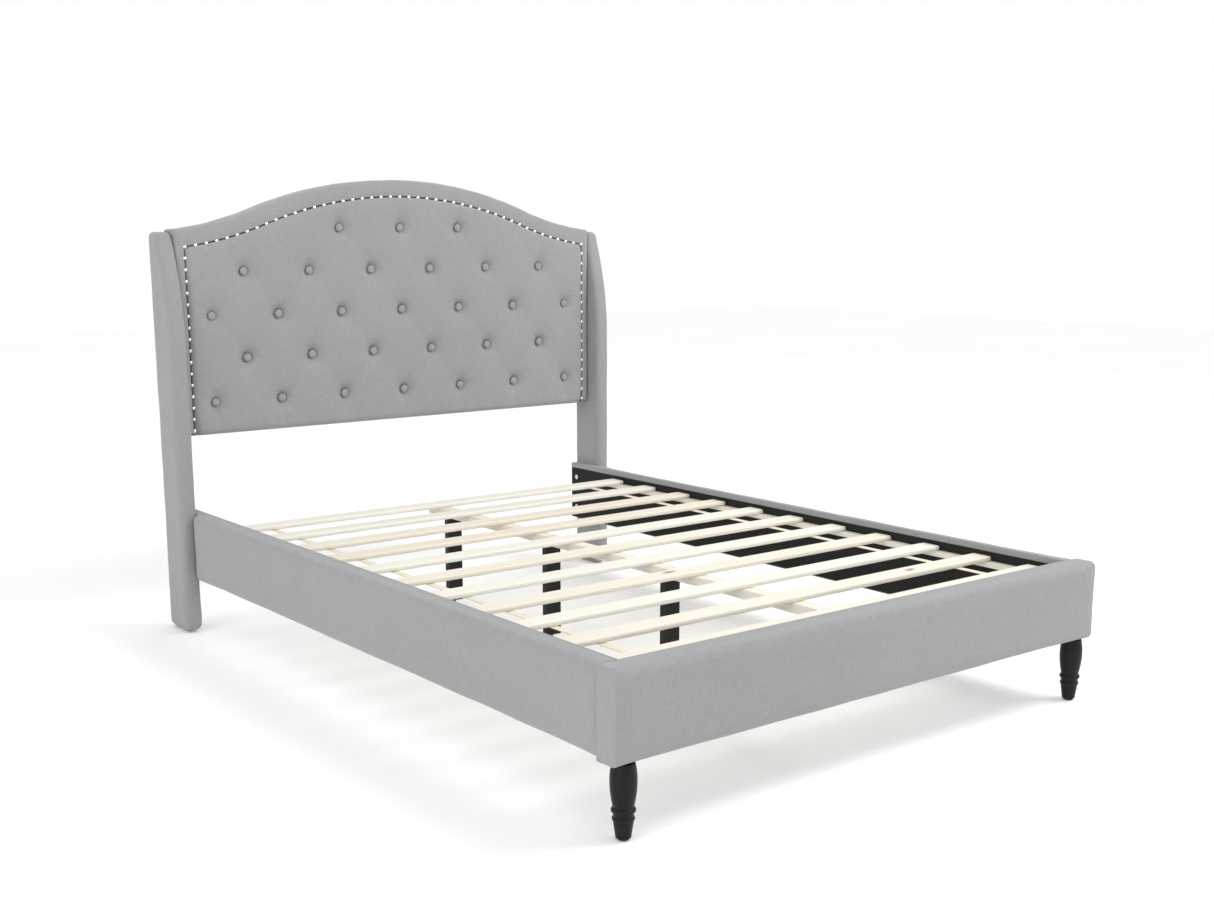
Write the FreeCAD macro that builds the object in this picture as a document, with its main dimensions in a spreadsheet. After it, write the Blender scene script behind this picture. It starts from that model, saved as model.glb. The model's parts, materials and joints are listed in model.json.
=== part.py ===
import FreeCAD, Part
import math
import os
import re
import Sketcher

# An upholstered wingback bed for a full-size mattress, in millimetres.
# +X is the right-hand side seen from the foot, +Y points to the head, +Z is up.
# The origin is on the floor, under the middle of the whole bed.

SIZES = {
    # the mattress the bed is made for, and the room around it
    "mattress_width": 1372,
    "mattress_length": 1905,
    "mattress_side_gap": 11,
    "mattress_end_gap": 37,
    # side rails and foot rail
    "rail_bottom": 155,
    "rail_height": 194,
    "rail_board_thickness": 25,
    "rail_padding": 19,
    "rail_corner_radius": 15,
    "rail_wing_gap": 3,
    "rail_head_setback": 20,
    "lining_thickness": 1,
    "wrap_top": 8,
    "wrap_bottom": 4,
    "wrap_fold": 7,
    "foot_rail_depth": 58,
    "foot_overhang": 8,
    "foot_padding": 11,
    "foot_end_padding": 16,
    "foot_corner_radius": 14,
    "cover_seam_gap": 0.6,
    # slats and what they rest on
    "slat_recess": 26,
    "slat_thickness": 13,
    "slat_width": 58,
    "slat_edge_radius": 5,
    "slat_end_gap": 4,
    "slat_foot_gap": 46,
    "slat_head_gap": 164,
    "ledger_width": 22,
    "ledger_height": 13,
    "strap_width": 20,
    "strap_thickness": 1.2,
    "strap_inset": 129,
    # headboard
    "headboard_bottom": 563,
    "crown_peak": 1292,
    "crown_radius": 1295,
    "crown_run": 470,
    "shoulder_radius": 940,
    "pad_thickness": 31,
    "pad_edge_radius": 22,
    "border_setback": 8,
    "border_top_width": 50,
    "border_side_width": 28,
    "border_edge_radius": 9,
    "nail_channel": 3,
    "panel_thickness": 12,
    "frame_thickness": 40,
    "frame_member_width": 60,
    "stile_top_gap": 12,
    "mid_rail_height": 810,
    "back_cloth_thickness": 2,
    # tufting
    "tuft_side_margin": 69.5,
    "tuft_top_margin": 142,
    "tuft_bottom_margin": 93,
    "tuft_dimple_diameter": 30,
    "tuft_dimple_depth": 12,
    "button_diameter": 24,
    "button_height": 8,
    "button_edge_radius": 4.8,
    "button_shank": 2.4,
    "shank_standout": 1,
    "washer_diameter": 16,
    "washer_thickness": 2,
    # nailhead trim
    "nail_head_diameter": 11,
    "nail_head_height": 3.5,
    "nail_pin_diameter": 2,
    "nail_pin_in_panel": 8,
    "nail_spacing": 32.5,
    # wings
    "wing_thickness": 48,
    "wing_depth": 140,
    "wing_top_drop": 2,
    "wing_padding": 12,
    "wing_sweep_height": 342,
    "wing_sweep_radius": 845,
    "wing_top_radius": 22,
    "wing_toe_radius": 28,
    "wing_edge_radius": 12,
    "wing_back_step": 5,
    # front legs
    "leg_inset": 42,
    "leg_setback": 28,
    "leg_top_radius": 23,
    "leg_belly_radius": 27,
    "leg_belly_height": 122,
    "leg_belly_roundness": 138,
    "leg_waist_radius": 21.2,
    "leg_waist_height": 70,
    "leg_waist_roundness": 215,
    "leg_ring_radius": 24.5,
    "leg_ring_height": 61,
    "leg_ring_thickness": 10,
    "leg_groove_depth": 1,
    "leg_groove_height": 48,
    "leg_groove_width": 3,
    "leg_bead_radius": 22.6,
    "leg_bead_thickness": 8,
    "leg_bead_step": 2,
    "leg_ankle_radius": 16,
    "leg_toe_height": 10,
    "leg_toe_radius": 5,
    "glide_diameter": 20,
    "glide_thickness": 3,
    # centre support
    "beam_width": 36,
    "beam_height": 24,
    "beam_head_overrun": 14,
    "center_leg_width": 48,
    "center_leg_depth": 20,
    "center_leg_lift": 28,
    "center_leg_foot_gap": 724,
    "center_leg_head_gap": 65,
    "foot_pad_diameter": 26,
    "foot_pad_height": 8,
    "foot_stem_diameter": 6,
    "foot_stem_length": 60,
    "foot_travel": 15,
    "stem_end_clearance": 2,
    # fasteners
    "bolt_diameter": 8,
    "bolt_head_diameter": 16,
    "bolt_head_height": 4,
    "bolt_clearance": 0.6,
    "tee_barrel_diameter": 10,
    "tee_barrel_length": 14,
    "tee_flange_diameter": 20,
    "tee_flange_thickness": 1.5,
    "screw_diameter": 4,
    "screw_head_diameter": 8,
    "screw_head_height": 2.5,
    "screw_length": 42,
    "screw_clearance": 0.4,
    "bracket_thickness": 3,
    "bracket_arm": 62,
    "bracket_height": 104,
    "bracket_bolt_inset": 40,
    "bracket_bolt_spread": 64,
    "bracket_ledger_gap": 4,
    "beam_plate_height": 35,
    "beam_seat_depth": 37,
    "beam_seat_screw_inset": 22,
    "beam_seat_screw_length": 21,
    "head_bolt_spread": 104,
    "head_bolt_setback": 52,
    "stile_bolt_spread": 300,
    "hanger_length": 80,
    "insert_wall": 1.6,
    "insert_length": 24,
    # how far a cutting shape runs past what it cuts
    "cut_overrun": 10,
}

SIDES = (("left", -1), ("right", 1))
TUFT_ROWS = (7, 6, 7, 6, 3)
SLAT_COUNT = 11
CENTER_LEG_COUNT = 3
NEAR = 1e-4

# Places and sizes that follow from the ones above.
DERIVED = {
    "inner_half": "mattress_width / 2 + mattress_side_gap",
    "board_inner": "inner_half + lining_thickness",
    "board_outer": "board_inner + rail_board_thickness",
    "rail_outer": "board_outer + rail_padding",
    "foot_half": "rail_outer + foot_overhang",
    "wing_outer": "board_outer + wing_thickness",
    "overall_length": "foot_rail_depth + mattress_length + mattress_end_gap + pad_thickness"
                      " + panel_thickness + frame_thickness + back_cloth_thickness + wing_back_step",
    "foot_front": "0 - overall_length / 2",
    "foot_inner": "foot_front + foot_rail_depth",
    "pad_front": "foot_inner + mattress_length + mattress_end_gap",
    "panel_front": "pad_front + pad_thickness",
    "frame_front": "panel_front + panel_thickness",
    "frame_back": "frame_front + frame_thickness",
    "cloth_back": "frame_back + back_cloth_thickness",
    "border_thickness": "pad_thickness - border_setback",
    "border_front": "panel_front - border_thickness",
    "wing_back": "overall_length / 2",
    "wing_front": "wing_back - wing_depth",
    "rail_board_end": "wing_back - rail_head_setback",
    "rail_board_length": "rail_board_end - foot_inner",
    "rail_cover_start": "foot_inner + cover_seam_gap",
    "rail_cover_end": "wing_front - rail_wing_gap",
    "rail_top": "rail_bottom + rail_height",
    "board_bottom": "rail_bottom + wrap_bottom",
    "board_height": "rail_height - wrap_top - wrap_bottom",
    "rail_middle": "board_bottom + board_height / 2",
    "lining_height": "rail_height - wrap_fold - wrap_bottom",
    "foot_board_depth": "foot_rail_depth - foot_padding - lining_thickness",
    "foot_board_half": "foot_half - foot_end_padding",
    "slat_top": "rail_top - slat_recess",
    "slat_bottom": "slat_top - slat_thickness",
    "slat_length": "2 * (inner_half - slat_end_gap)",
    "slat_first": "foot_inner + slat_foot_gap + slat_width / 2",
    "slat_last": "pad_front - slat_head_gap - slat_width / 2",
    "slat_pitch": f"(slat_last - slat_first) / {SLAT_COUNT - 1}",
    "strap_center": "inner_half - strap_inset",
    "crown_join": "crown_run / crown_radius",
    "crown_rise": "sqrt(1 - crown_join ^ 2)",
    "crown_center": "crown_peak - crown_radius",
    "shoulder_center_x": "(crown_radius + shoulder_radius) * crown_join",
    "shoulder_center_z": "crown_center + (crown_radius + shoulder_radius) * crown_rise",
    "shoulder_end": "shoulder_center_z - sqrt(shoulder_radius ^ 2"
                    " - (shoulder_center_x - board_outer) ^ 2)",
    "wing_height": "shoulder_end - wing_top_drop",
    "wing_sweep_start": "wing_height - wing_sweep_height",
    "frame_bottom": "headboard_bottom + wrap_top",
    "nail_half": "board_outer - border_side_width",
    "pad_inset": "border_top_width + nail_channel / 2",
    "pad_half": "nail_half - nail_channel / 2",
    "border_inset": "border_top_width - nail_channel / 2",
    "border_inner_half": "nail_half + nail_channel / 2",
    "tuft_pitch": f"2 * (pad_half - tuft_side_margin) / {max(TUFT_ROWS) - 1}",
    "tuft_first_row": "headboard_bottom + tuft_bottom_margin",
    "tuft_last_row": "crown_peak - tuft_top_margin",
    "tuft_row_step": f"(tuft_last_row - tuft_first_row) / {len(TUFT_ROWS) - 1}",
    "leg_center_x": "foot_half - leg_inset",
    "leg_center_y": "foot_front + leg_setback",
    "leg_groove_radius": "leg_waist_radius - leg_groove_depth",
    "leg_ring_bulge": "leg_ring_radius - leg_waist_radius",
    "leg_ring_roundness": "((leg_ring_thickness / 2) ^ 2 + leg_ring_bulge ^ 2) / (2 * leg_ring_bulge)",
    "leg_bead_bulge": "leg_bead_radius - leg_groove_radius",
    "leg_bead_roundness": "((leg_bead_thickness / 2) ^ 2 + leg_bead_bulge ^ 2) / (2 * leg_bead_bulge)",
    "leg_bead_bottom": "leg_groove_height - leg_bead_thickness",
    "center_leg_first": "foot_front + center_leg_foot_gap",
    "center_leg_last": "slat_last - center_leg_head_gap",
    "center_leg_pitch": f"(center_leg_last - center_leg_first) / {CENTER_LEG_COUNT - 1}",
    "foot_gap": "center_leg_lift - foot_pad_height / 2",
    "beam_bottom": "slat_bottom - beam_height",
    "beam_end": "slat_last + slat_width / 2 + beam_head_overrun",
    "tee_bore": "tee_barrel_diameter + bolt_clearance",
    "bolt_bore": "bolt_diameter + bolt_clearance",
    "head_bolt_y": "wing_back - head_bolt_setback",
    "stile_bolt_y": "frame_front + frame_thickness / 2",
    "stile_bolt_middle": "mid_rail_height + frame_member_width / 2",
    "wing_core_inner": "board_outer + wing_padding",
    "wing_core_thickness": "wing_thickness - 2 * wing_padding",
    "wing_core_outer": "wing_core_inner + wing_core_thickness",
    "stem_bore": "foot_stem_diameter + bolt_clearance",
    "insert_diameter": "foot_stem_diameter + bolt_clearance + 2 * insert_wall",
    "hanger_insert_diameter": "bolt_bore + 2 * insert_wall",
    "bracket_middle": "slat_bottom - ledger_height - bracket_ledger_gap - bracket_height / 2",
    "bolt_reach": "bracket_thickness + lining_thickness + insert_length",
}

document = FreeCAD.newDocument("UpholsteredBed")
sizes = document.addObject("Spreadsheet::Sheet", "Sizes")
for row, (alias, number) in enumerate(SIZES.items(), start=1):
    sizes.set(f"A{row}", alias)
    sizes.set(f"B{row}", str(number))
    sizes.setAlias(f"B{row}", alias)
document.recompute()

nodes = []


def formula(text):
    """Spell a formula in plain words out as one over the cells of the sheet."""
    def spell(match):
        word = match.group(0)
        if word in DERIVED:
            return "(" + formula(DERIVED[word]) + ")"
        if word in SIZES:
            return "Sizes." + word
        return word
    return re.sub(r"[a-z_][a-z0-9_]*", spell, text)


def value(text):
    """The number that a formula in plain words gives."""
    return float(sizes.evalExpression(formula(text)))


def bind(piece, prop, text):
    piece.setExpression(prop, formula(text))


def place(piece, x, y, z):
    for axis, text in zip("xyz", (x, y, z)):
        bind(piece, "Placement.Base." + axis, text)


def node(name, piece):
    """Hand a finished piece over as a sub-part with its own label."""
    piece.Label = name
    nodes.append(piece)
    return piece


def outward(sign, start, thickness):
    """Lower X of a block that stands outward from start on one side of the bed."""
    return start if sign > 0 else f"0 - ({start}) - ({thickness})"


def mirrored(sign, text):
    return text if sign > 0 else f"0 - ({text})"


def box(name, size, corner):
    piece = document.addObject("Part::Box", name)
    for prop, text in zip(("Length", "Width", "Height"), size):
        bind(piece, prop, text)
    place(piece, *corner)
    return piece


AXES = {
    "+x": FreeCAD.Rotation(FreeCAD.Vector(0, 1, 0), 90),
    "-x": FreeCAD.Rotation(FreeCAD.Vector(0, 1, 0), -90),
    "+y": FreeCAD.Rotation(FreeCAD.Vector(1, 0, 0), -90),
    "-y": FreeCAD.Rotation(FreeCAD.Vector(1, 0, 0), 90),
    "+z": FreeCAD.Rotation(),
    "-z": FreeCAD.Rotation(FreeCAD.Vector(1, 0, 0), 180),
}


def rod(name, diameter, length, start, axis="+z"):
    """A cylinder that runs from start along one axis of the bed."""
    piece = document.addObject("Part::Cylinder", name)
    bind(piece, "Radius", f"({diameter}) / 2")
    bind(piece, "Height", length)
    piece.Placement = FreeCAD.Placement(FreeCAD.Vector(), AXES[axis])
    place(piece, *start)
    return piece


def joined(name, pieces):
    piece = document.addObject("Part::MultiFuse", name)
    piece.Shapes = pieces
    return piece


def group(name, pieces):
    """Separate solids that share one node."""
    piece = document.addObject("Part::Compound", name)
    piece.Links = pieces
    return piece


def cut(name, base, tools):
    piece = document.addObject("Part::Cut", name)
    piece.Base = base
    piece.Tool = tools[0] if len(tools) == 1 else group(name + "_tools", tools)
    return piece


def fixed(name, shape):
    """A piece whose shape is worked out here, where no feature fits it."""
    piece = document.addObject("Part::Feature", name)
    piece.Shape = shape
    return piece


def arc_between(start, stop, radius, turn):
    """The arc from start to stop, to the left for turn 1 and to the right for turn -1."""
    chord = stop - start
    middle = (start + stop) * 0.5
    height = math.sqrt(max(radius ** 2 - (chord.Length / 2) ** 2, 0))
    normal = FreeCAD.Vector(-chord.y, chord.x, 0).normalize()
    center = middle + normal * height * turn
    first, last = (start, stop) if turn > 0 else (stop, start)
    angles = [math.atan2(point.y - center.y, point.x - center.x) for point in (first, last)]
    if angles[1] < angles[0]:
        angles[1] += 2 * math.pi
    circle = Part.Circle(center, FreeCAD.Vector(0, 0, 1), radius)
    return Part.ArcOfCircle(circle, angles[0], angles[1])


def outline(body, name, plane, path):
    """A closed sketch. Each corner is (x, y), or (x, y, radius, turn) where an arc leaves it."""
    sketch = body.newObject("Sketcher::SketchObject", name)
    role = [item for item in body.Origin.OriginFeatures if item.Role == plane]
    sketch.AttachmentSupport = (role[0], [""])
    sketch.MapMode = "FlatFace"
    points = [FreeCAD.Vector(value(x), value(y), 0) for x, y, *bend in path]
    ends = []
    for index, (x, y, *bend) in enumerate(path):
        start, stop = points[index], points[(index + 1) % len(points)]
        if bend:
            radius, turn = bend
            edge = sketch.addGeometry(arc_between(start, stop, value(radius), turn), False)
            ends.append((edge, 1, 2) if turn > 0 else (edge, 2, 1))
            number = sketch.addConstraint(Sketcher.Constraint("Radius", edge, value(radius)))
            bind(sketch, f"Constraints[{number}]", radius)
        else:
            edge = sketch.addGeometry(Part.LineSegment(start, stop), False)
            ends.append((edge, 1, 2))
    for index, (x, y, *bend) in enumerate(path):
        edge, first, last = ends[index]
        before, start_of_before, end_of_before = ends[index - 1]
        sketch.addConstraint(Sketcher.Constraint("Coincident", before, end_of_before, edge, first))
        for kind, text in (("DistanceX", x), ("DistanceY", y)):
            rule = Sketcher.Constraint(kind, -1, 1, edge, first, value(text))
            bind(sketch, f"Constraints[{sketch.addConstraint(rule)}]", text)
    return sketch


def rounded(low_x, high_x, low_y, high_y, radii):
    """Corners of a rectangle, from its lower left one round, with a radius or None for each."""
    path = []
    corners = (
        (low_x, low_y, 0, 1, 1, 0),
        (high_x, low_y, -1, 0, 0, 1),
        (high_x, high_y, 0, -1, -1, 0),
        (low_x, high_y, 1, 0, 0, -1),
    )
    for (x, y, in_x, in_y, out_x, out_y), radius in zip(corners, radii):
        if radius is None:
            path.append((x, y))
            continue
        path.append((f"{x} + ({in_x}) * ({radius})", f"{y} + ({in_y}) * ({radius})", radius, 1))
        path.append((f"{x} + ({out_x}) * ({radius})", f"{y} + ({out_y}) * ({radius})"))
    return path


def new_body(name, x="0", y="0", z="0"):
    body = document.addObject("PartDesign::Body", name)
    place(body, x, y, z)
    return body


def pad(body, plane, path, length):
    """Extrude an outline: along +X from the YZ plane, along -Y from the XZ plane."""
    sketch = outline(body, body.Name + "_outline", plane, path)
    solid = body.newObject("PartDesign::Pad", body.Name + "_pad")
    solid.Profile = sketch
    bind(solid, "Length", length)
    body.Tip = solid
    return solid


def round_edges(body, base, radius, wanted):
    """Fillet the edges of a feature that the test picks out."""
    document.recompute()
    names = [f"Edge{index}" for index, edge in enumerate(base.Shape.Edges, start=1) if wanted(edge)]
    fillet = body.newObject("PartDesign::Fillet", body.Name + "_fillet")
    fillet.Base = (base, names)
    bind(fillet, "Radius", radius)
    body.Tip = fillet
    return fillet


def lies_at(edge, axis, number):
    """True for an edge that lies wholly in a plane across one axis."""
    low = getattr(edge.BoundBox, axis + "Min")
    high = getattr(edge.BoundBox, axis + "Max")
    return abs(low - number) < NEAR and abs(high - number) < NEAR


def crown_outline(half, inset, bottom):
    """The camelback outline, set in by inset at the top and cut off at half on both sides."""
    join_x = f"(crown_radius - ({inset})) * crown_join"
    join_z = f"crown_center + (crown_radius - ({inset})) * crown_rise"
    side_z = (f"shoulder_center_z - sqrt((shoulder_radius + ({inset})) ^ 2"
              f" - (shoulder_center_x - ({half})) ^ 2)")
    return [
        (f"0 - ({half})", bottom),
        (half, bottom),
        (half, side_z, f"shoulder_radius + ({inset})", -1),
        (join_x, join_z, f"crown_radius - ({inset})", 1),
        (f"0 - {join_x}", join_z, f"shoulder_radius + ({inset})", -1),
        (f"0 - ({half})", side_z),
    ]


def crown_slab(name, half, inset, bottom, thickness, back):
    """A slab with the camelback outline, its back face at back."""
    body = new_body(name, y=back)
    pad(body, "XZ_Plane", crown_outline(half, inset, bottom), thickness)
    return body


def tuft_points():
    """(x, z) of every button, row by row from the bottom."""
    points = []
    for row, count in enumerate(TUFT_ROWS):
        height = value("tuft_first_row") + row * value("tuft_row_step")
        for column in range(count):
            points.append(((column - (count - 1) / 2) * value("tuft_pitch"), height))
    return points


def nail_points():
    """(x, z) of every nail, up the left side, over the crown and down the right side."""
    half = value("nail_half")
    inset = value("border_top_width")
    path = crown_outline("nail_half", "border_top_width", "headboard_bottom")
    corners = [FreeCAD.Vector(value(x), value(z), 0) for x, z, *bend in path]
    arcs = [
        arc_between(corners[2], corners[3], value("shoulder_radius") + inset, -1),
        arc_between(corners[3], corners[4], value("crown_radius") - inset, 1),
        arc_between(corners[4], corners[5], value("shoulder_radius") + inset, -1),
    ]
    edges = [Part.LineSegment(corners[1], corners[2]).toShape()]
    edges += [arc.toShape() for arc in arcs]
    edges.append(Part.LineSegment(corners[5], corners[0]).toShape())
    wire = Part.Wire(edges)
    count = round(wire.Length / value("nail_spacing"))
    line = wire.discretize(Number=2 * count + 1)
    return [(point.x, point.y) for point in line[1::2]]


def along_y(diameter, start, length, points):
    """Cylinders along +Y at each (x, z) point, as one compound."""
    towards = FreeCAD.Vector(0, 1, 0)
    return Part.makeCompound([
        Part.makeCylinder(diameter / 2, length, FreeCAD.Vector(x, start, z), towards)
        for x, z in points
    ])


# ---------------------------------------------------------------- headboard frame

def bolt_rows(middle, spread):
    return (f"{middle} - {spread} / 2", f"{middle} + {spread} / 2")


def make_headboard_frame():
    """Plywood panel with a softwood frame behind it."""
    tufts = tuft_points()
    shank_bore = value("button_shank + screw_clearance")
    pin_bore = value("nail_pin_diameter + screw_clearance")
    overrun = value("cut_overrun")
    start = value("panel_front") - overrun
    panel = crown_slab("panel_blank", "board_outer", "wrap_top", "frame_bottom",
                       "panel_thickness", "frame_front")
    shank_depth = value("panel_thickness") + 2 * overrun
    pin_depth = value("nail_pin_in_panel") + overrun
    shank_holes = fixed("shank_holes", along_y(shank_bore, start, shank_depth, tufts))
    pin_holes = fixed("pin_holes", along_y(pin_bore, start, pin_depth, nail_points()))
    node("headboard_panel", cut("headboard_panel", panel, [shank_holes, pin_holes]))

    rail_half = "board_outer - frame_member_width"
    top_outer = crown_slab("top_rail_blank", "board_outer", "wrap_top", "frame_bottom",
                           "frame_thickness", "frame_back")
    top_waste = crown_slab("top_rail_waste", "board_outer + cut_overrun",
                           "wrap_top + frame_member_width", "frame_bottom - cut_overrun",
                           "frame_thickness + 2 * cut_overrun", "frame_back + cut_overrun")
    node("headboard_top_rail", cut("headboard_top_rail", top_outer, [top_waste]))
    for name, height in (("mid", "mid_rail_height"), ("bottom", "frame_bottom")):
        node(f"headboard_{name}_rail", box(
            f"headboard_{name}_rail",
            (f"2 * ({rail_half})", "frame_thickness", "frame_member_width"),
            (f"0 - ({rail_half})", "frame_front", height)))
    stile_top = ("shoulder_center_z - sqrt((shoulder_radius + wrap_top + frame_member_width) ^ 2"
                 f" - (shoulder_center_x - ({rail_half})) ^ 2) - frame_bottom - stile_top_gap")
    for side, sign in SIDES:
        stile = box(f"stile_blank_{side}",
                    ("frame_member_width", "frame_thickness", stile_top),
                    (outward(sign, rail_half, "frame_member_width"), "frame_front", "frame_bottom"))
        holes = [
            rod(f"stile_hole_{side}_{index}", "bolt_bore", "frame_member_width + 2 * cut_overrun",
                (mirrored(sign, f"{rail_half} - cut_overrun"), "stile_bolt_y", height),
                "+x" if sign > 0 else "-x")
            for index, height in enumerate(bolt_rows("stile_bolt_middle", "stile_bolt_spread"))
        ]
        node(f"headboard_stile_{side}", cut(f"headboard_stile_{side}", stile, holes))
    node("headboard_back_cloth", crown_slab(
        "headboard_back_cloth", "board_outer", "wrap_top", "frame_bottom",
        "back_cloth_thickness", "cloth_back"))


# ---------------------------------------------------------------- headboard upholstery

def make_tufted_pad():
    """Foam pad with a dimple and a shank hole at every button, and a lip under the frame."""
    tufts = tuft_points()
    overrun = value("cut_overrun")
    body = new_body("pad_blank", y="panel_front")
    slab = pad(body, "XZ_Plane",
               crown_outline("pad_half", "pad_inset", "headboard_bottom"), "pad_thickness")
    front = -value("pad_thickness")
    round_edges(body, slab, "pad_edge_radius", lambda edge: lies_at(edge, "Y", front))
    lip = box("pad_lip", ("2 * board_outer", "cloth_back - panel_front", "wrap_top"),
              ("0 - board_outer", "panel_front", "headboard_bottom"))
    dimples = fixed("dimples", along_y(value("tuft_dimple_diameter"), value("pad_front") - overrun,
                                       value("tuft_dimple_depth") + overrun, tufts))
    shanks = fixed("pad_shank_holes", along_y(value("button_shank + screw_clearance"),
                                              value("pad_front"), value("pad_thickness"), tufts))
    node("tufted_pad", cut("tufted_pad", joined("pad_with_lip", [body, lip]), [dimples, shanks]))


def make_border_band():
    """Padded band round the top and sides, which turns over the top edge of the frame."""
    body = new_body("border_blank", y="cloth_back")
    slab = pad(body, "XZ_Plane", crown_outline("board_outer", "0", "headboard_bottom + wrap_top"),
               "cloth_back - border_front")
    front = value("border_front - cloth_back")
    bottom = value("headboard_bottom + wrap_top")
    round_edges(body, slab, "border_edge_radius",
                lambda edge: lies_at(edge, "Y", front) and edge.BoundBox.ZMin > bottom + NEAR
                and edge.BoundBox.XLength > NEAR)
    window = crown_slab("border_window", "border_inner_half", "border_inset",
                        "headboard_bottom - cut_overrun", "border_thickness + cut_overrun",
                        "panel_front")
    core = crown_slab("border_core", "board_outer + cut_overrun", "wrap_top",
                      "headboard_bottom - cut_overrun",
                      "cloth_back - panel_front + cut_overrun", "cloth_back + cut_overrun")
    node("border_band", cut("border_band", body, [window, core]))


def make_buttons():
    """Cloth-covered buttons, each on a shank that a washer holds behind the panel."""
    towards = FreeCAD.Vector(0, 1, 0)
    seat = value("pad_front + tuft_dimple_depth")
    back = value("frame_front")
    radius = value("button_diameter") / 2
    height = value("button_height")
    washer = value("washer_thickness")
    disc = Part.makeCylinder(radius, height, FreeCAD.Vector(0, seat - height, 0), towards)
    rim = [edge for edge in disc.Edges if lies_at(edge, "Y", seat - height)]
    cap = disc.makeFillet(value("button_edge_radius"), rim)
    reach = back + washer + value("shank_standout") - seat
    stalk = Part.makeCylinder(value("button_shank") / 2, reach, FreeCAD.Vector(0, seat, 0), towards)
    button = cap.fuse(stalk)
    plate = Part.makeCylinder(value("washer_diameter") / 2, washer,
                              FreeCAD.Vector(0, back, 0), towards)
    hole = Part.makeCylinder(value("button_shank + screw_clearance") / 2, washer,
                             FreeCAD.Vector(0, back, 0), towards)
    plate = plate.cut(hole)
    for name, shape in (("tuft_buttons", button), ("tuft_washers", plate)):
        copies = [shape.translated(FreeCAD.Vector(x, 0, z)) for x, z in tuft_points()]
        node(name, fixed(name, Part.makeCompound(copies)))


def make_nails():
    """Round-headed nails in one row along the inner edge of the border band."""
    seat = value("border_front")
    radius = value("nail_head_diameter") / 2
    height = value("nail_head_height")
    ball_radius = (radius ** 2 + height ** 2) / (2 * height)
    ball = Part.makeSphere(ball_radius, FreeCAD.Vector(0, seat - height + ball_radius, 0))
    overrun = value("cut_overrun")
    block = Part.makeCylinder(radius + overrun, height + overrun,
                              FreeCAD.Vector(0, seat - height - overrun, 0),
                              FreeCAD.Vector(0, 1, 0))
    pin = Part.makeCylinder(value("nail_pin_diameter") / 2,
                            value("border_thickness + nail_pin_in_panel"),
                            FreeCAD.Vector(0, seat, 0), FreeCAD.Vector(0, 1, 0))
    nail = ball.common(block).fuse(pin)
    copies = [nail.translated(FreeCAD.Vector(x, 0, z)) for x, z in nail_points()]
    node("nailhead_trim", fixed("nailhead_trim", Part.makeCompound(copies)))


# ---------------------------------------------------------------- wings

def wing_profile(inset):
    """Side outline of a wing, from the toe round, in the YZ plane."""
    sweep = f"wing_sweep_radius - ({inset})"
    top = f"wing_height - ({inset})"
    crest = f"{top} - wing_top_radius"
    front = f"wing_front + ({inset})"
    back = f"wing_back - ({inset})"
    sweep_back = (f"wing_front + wing_sweep_radius"
                  f" - sqrt(({sweep}) ^ 2 - ({crest} - wing_sweep_start) ^ 2)")
    return [
        (f"{front} + wing_toe_radius", "glide_thickness"),
        (back, "glide_thickness"),
        (back, top),
        (f"{sweep_back} + wing_top_radius", top, "wing_top_radius", 1),
        (sweep_back, crest, sweep, 1),
        (front, "wing_sweep_start"),
        (front, "glide_thickness + wing_toe_radius", "wing_toe_radius", 1),
    ]


def make_wings():
    """A timber core in a padded sleeve on each side of the headboard."""
    floor = value("glide_thickness")
    for side, sign in SIDES:
        core = new_body(f"core_blank_{side}",
                        x=outward(sign, "wing_core_inner", "wing_core_thickness"))
        pad(core, "YZ_Plane", wing_profile("wing_padding"), "wing_core_thickness")
        sleeve = new_body(f"sleeve_blank_{side}", x=outward(sign, "board_outer", "wing_thickness"))
        block = pad(sleeve, "YZ_Plane", wing_profile("0"), "wing_thickness")
        faces = (0, value("wing_thickness"))
        round_edges(sleeve, block, "wing_edge_radius",
                    lambda edge: any(lies_at(edge, "X", face) for face in faces)
                    and not lies_at(edge, "Z", floor))
        bolts = []
        nuts = []
        points = [("head_bolt_y", height) for height in bolt_rows("rail_middle", "head_bolt_spread")]
        points += [("stile_bolt_y", height)
                   for height in bolt_rows("stile_bolt_middle", "stile_bolt_spread")]
        axis = "-x" if sign > 0 else "+x"
        for index, (y, z) in enumerate(points):
            start = (mirrored(sign, "wing_core_outer"), y, z)
            bolts.append(rod(f"wing_bore_{side}_{index}", "bolt_bore", "wing_thickness", start, axis))
            nuts.append(rod(f"wing_tee_bore_{side}_{index}", "tee_bore",
                            "tee_barrel_length + bolt_clearance", start, axis))
            nuts.append(rod(f"wing_tee_seat_{side}_{index}", "tee_flange_diameter + bolt_clearance",
                            "tee_flange_thickness", start, axis))
        node(f"wing_core_{side}", cut(f"wing_core_{side}", core, bolts + nuts))
        node(f"wing_cover_{side}", cut(f"wing_cover_{side}", sleeve, [core, group(
            f"cover_bores_{side}", bolts)]))


# ---------------------------------------------------------------- side rails

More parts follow.
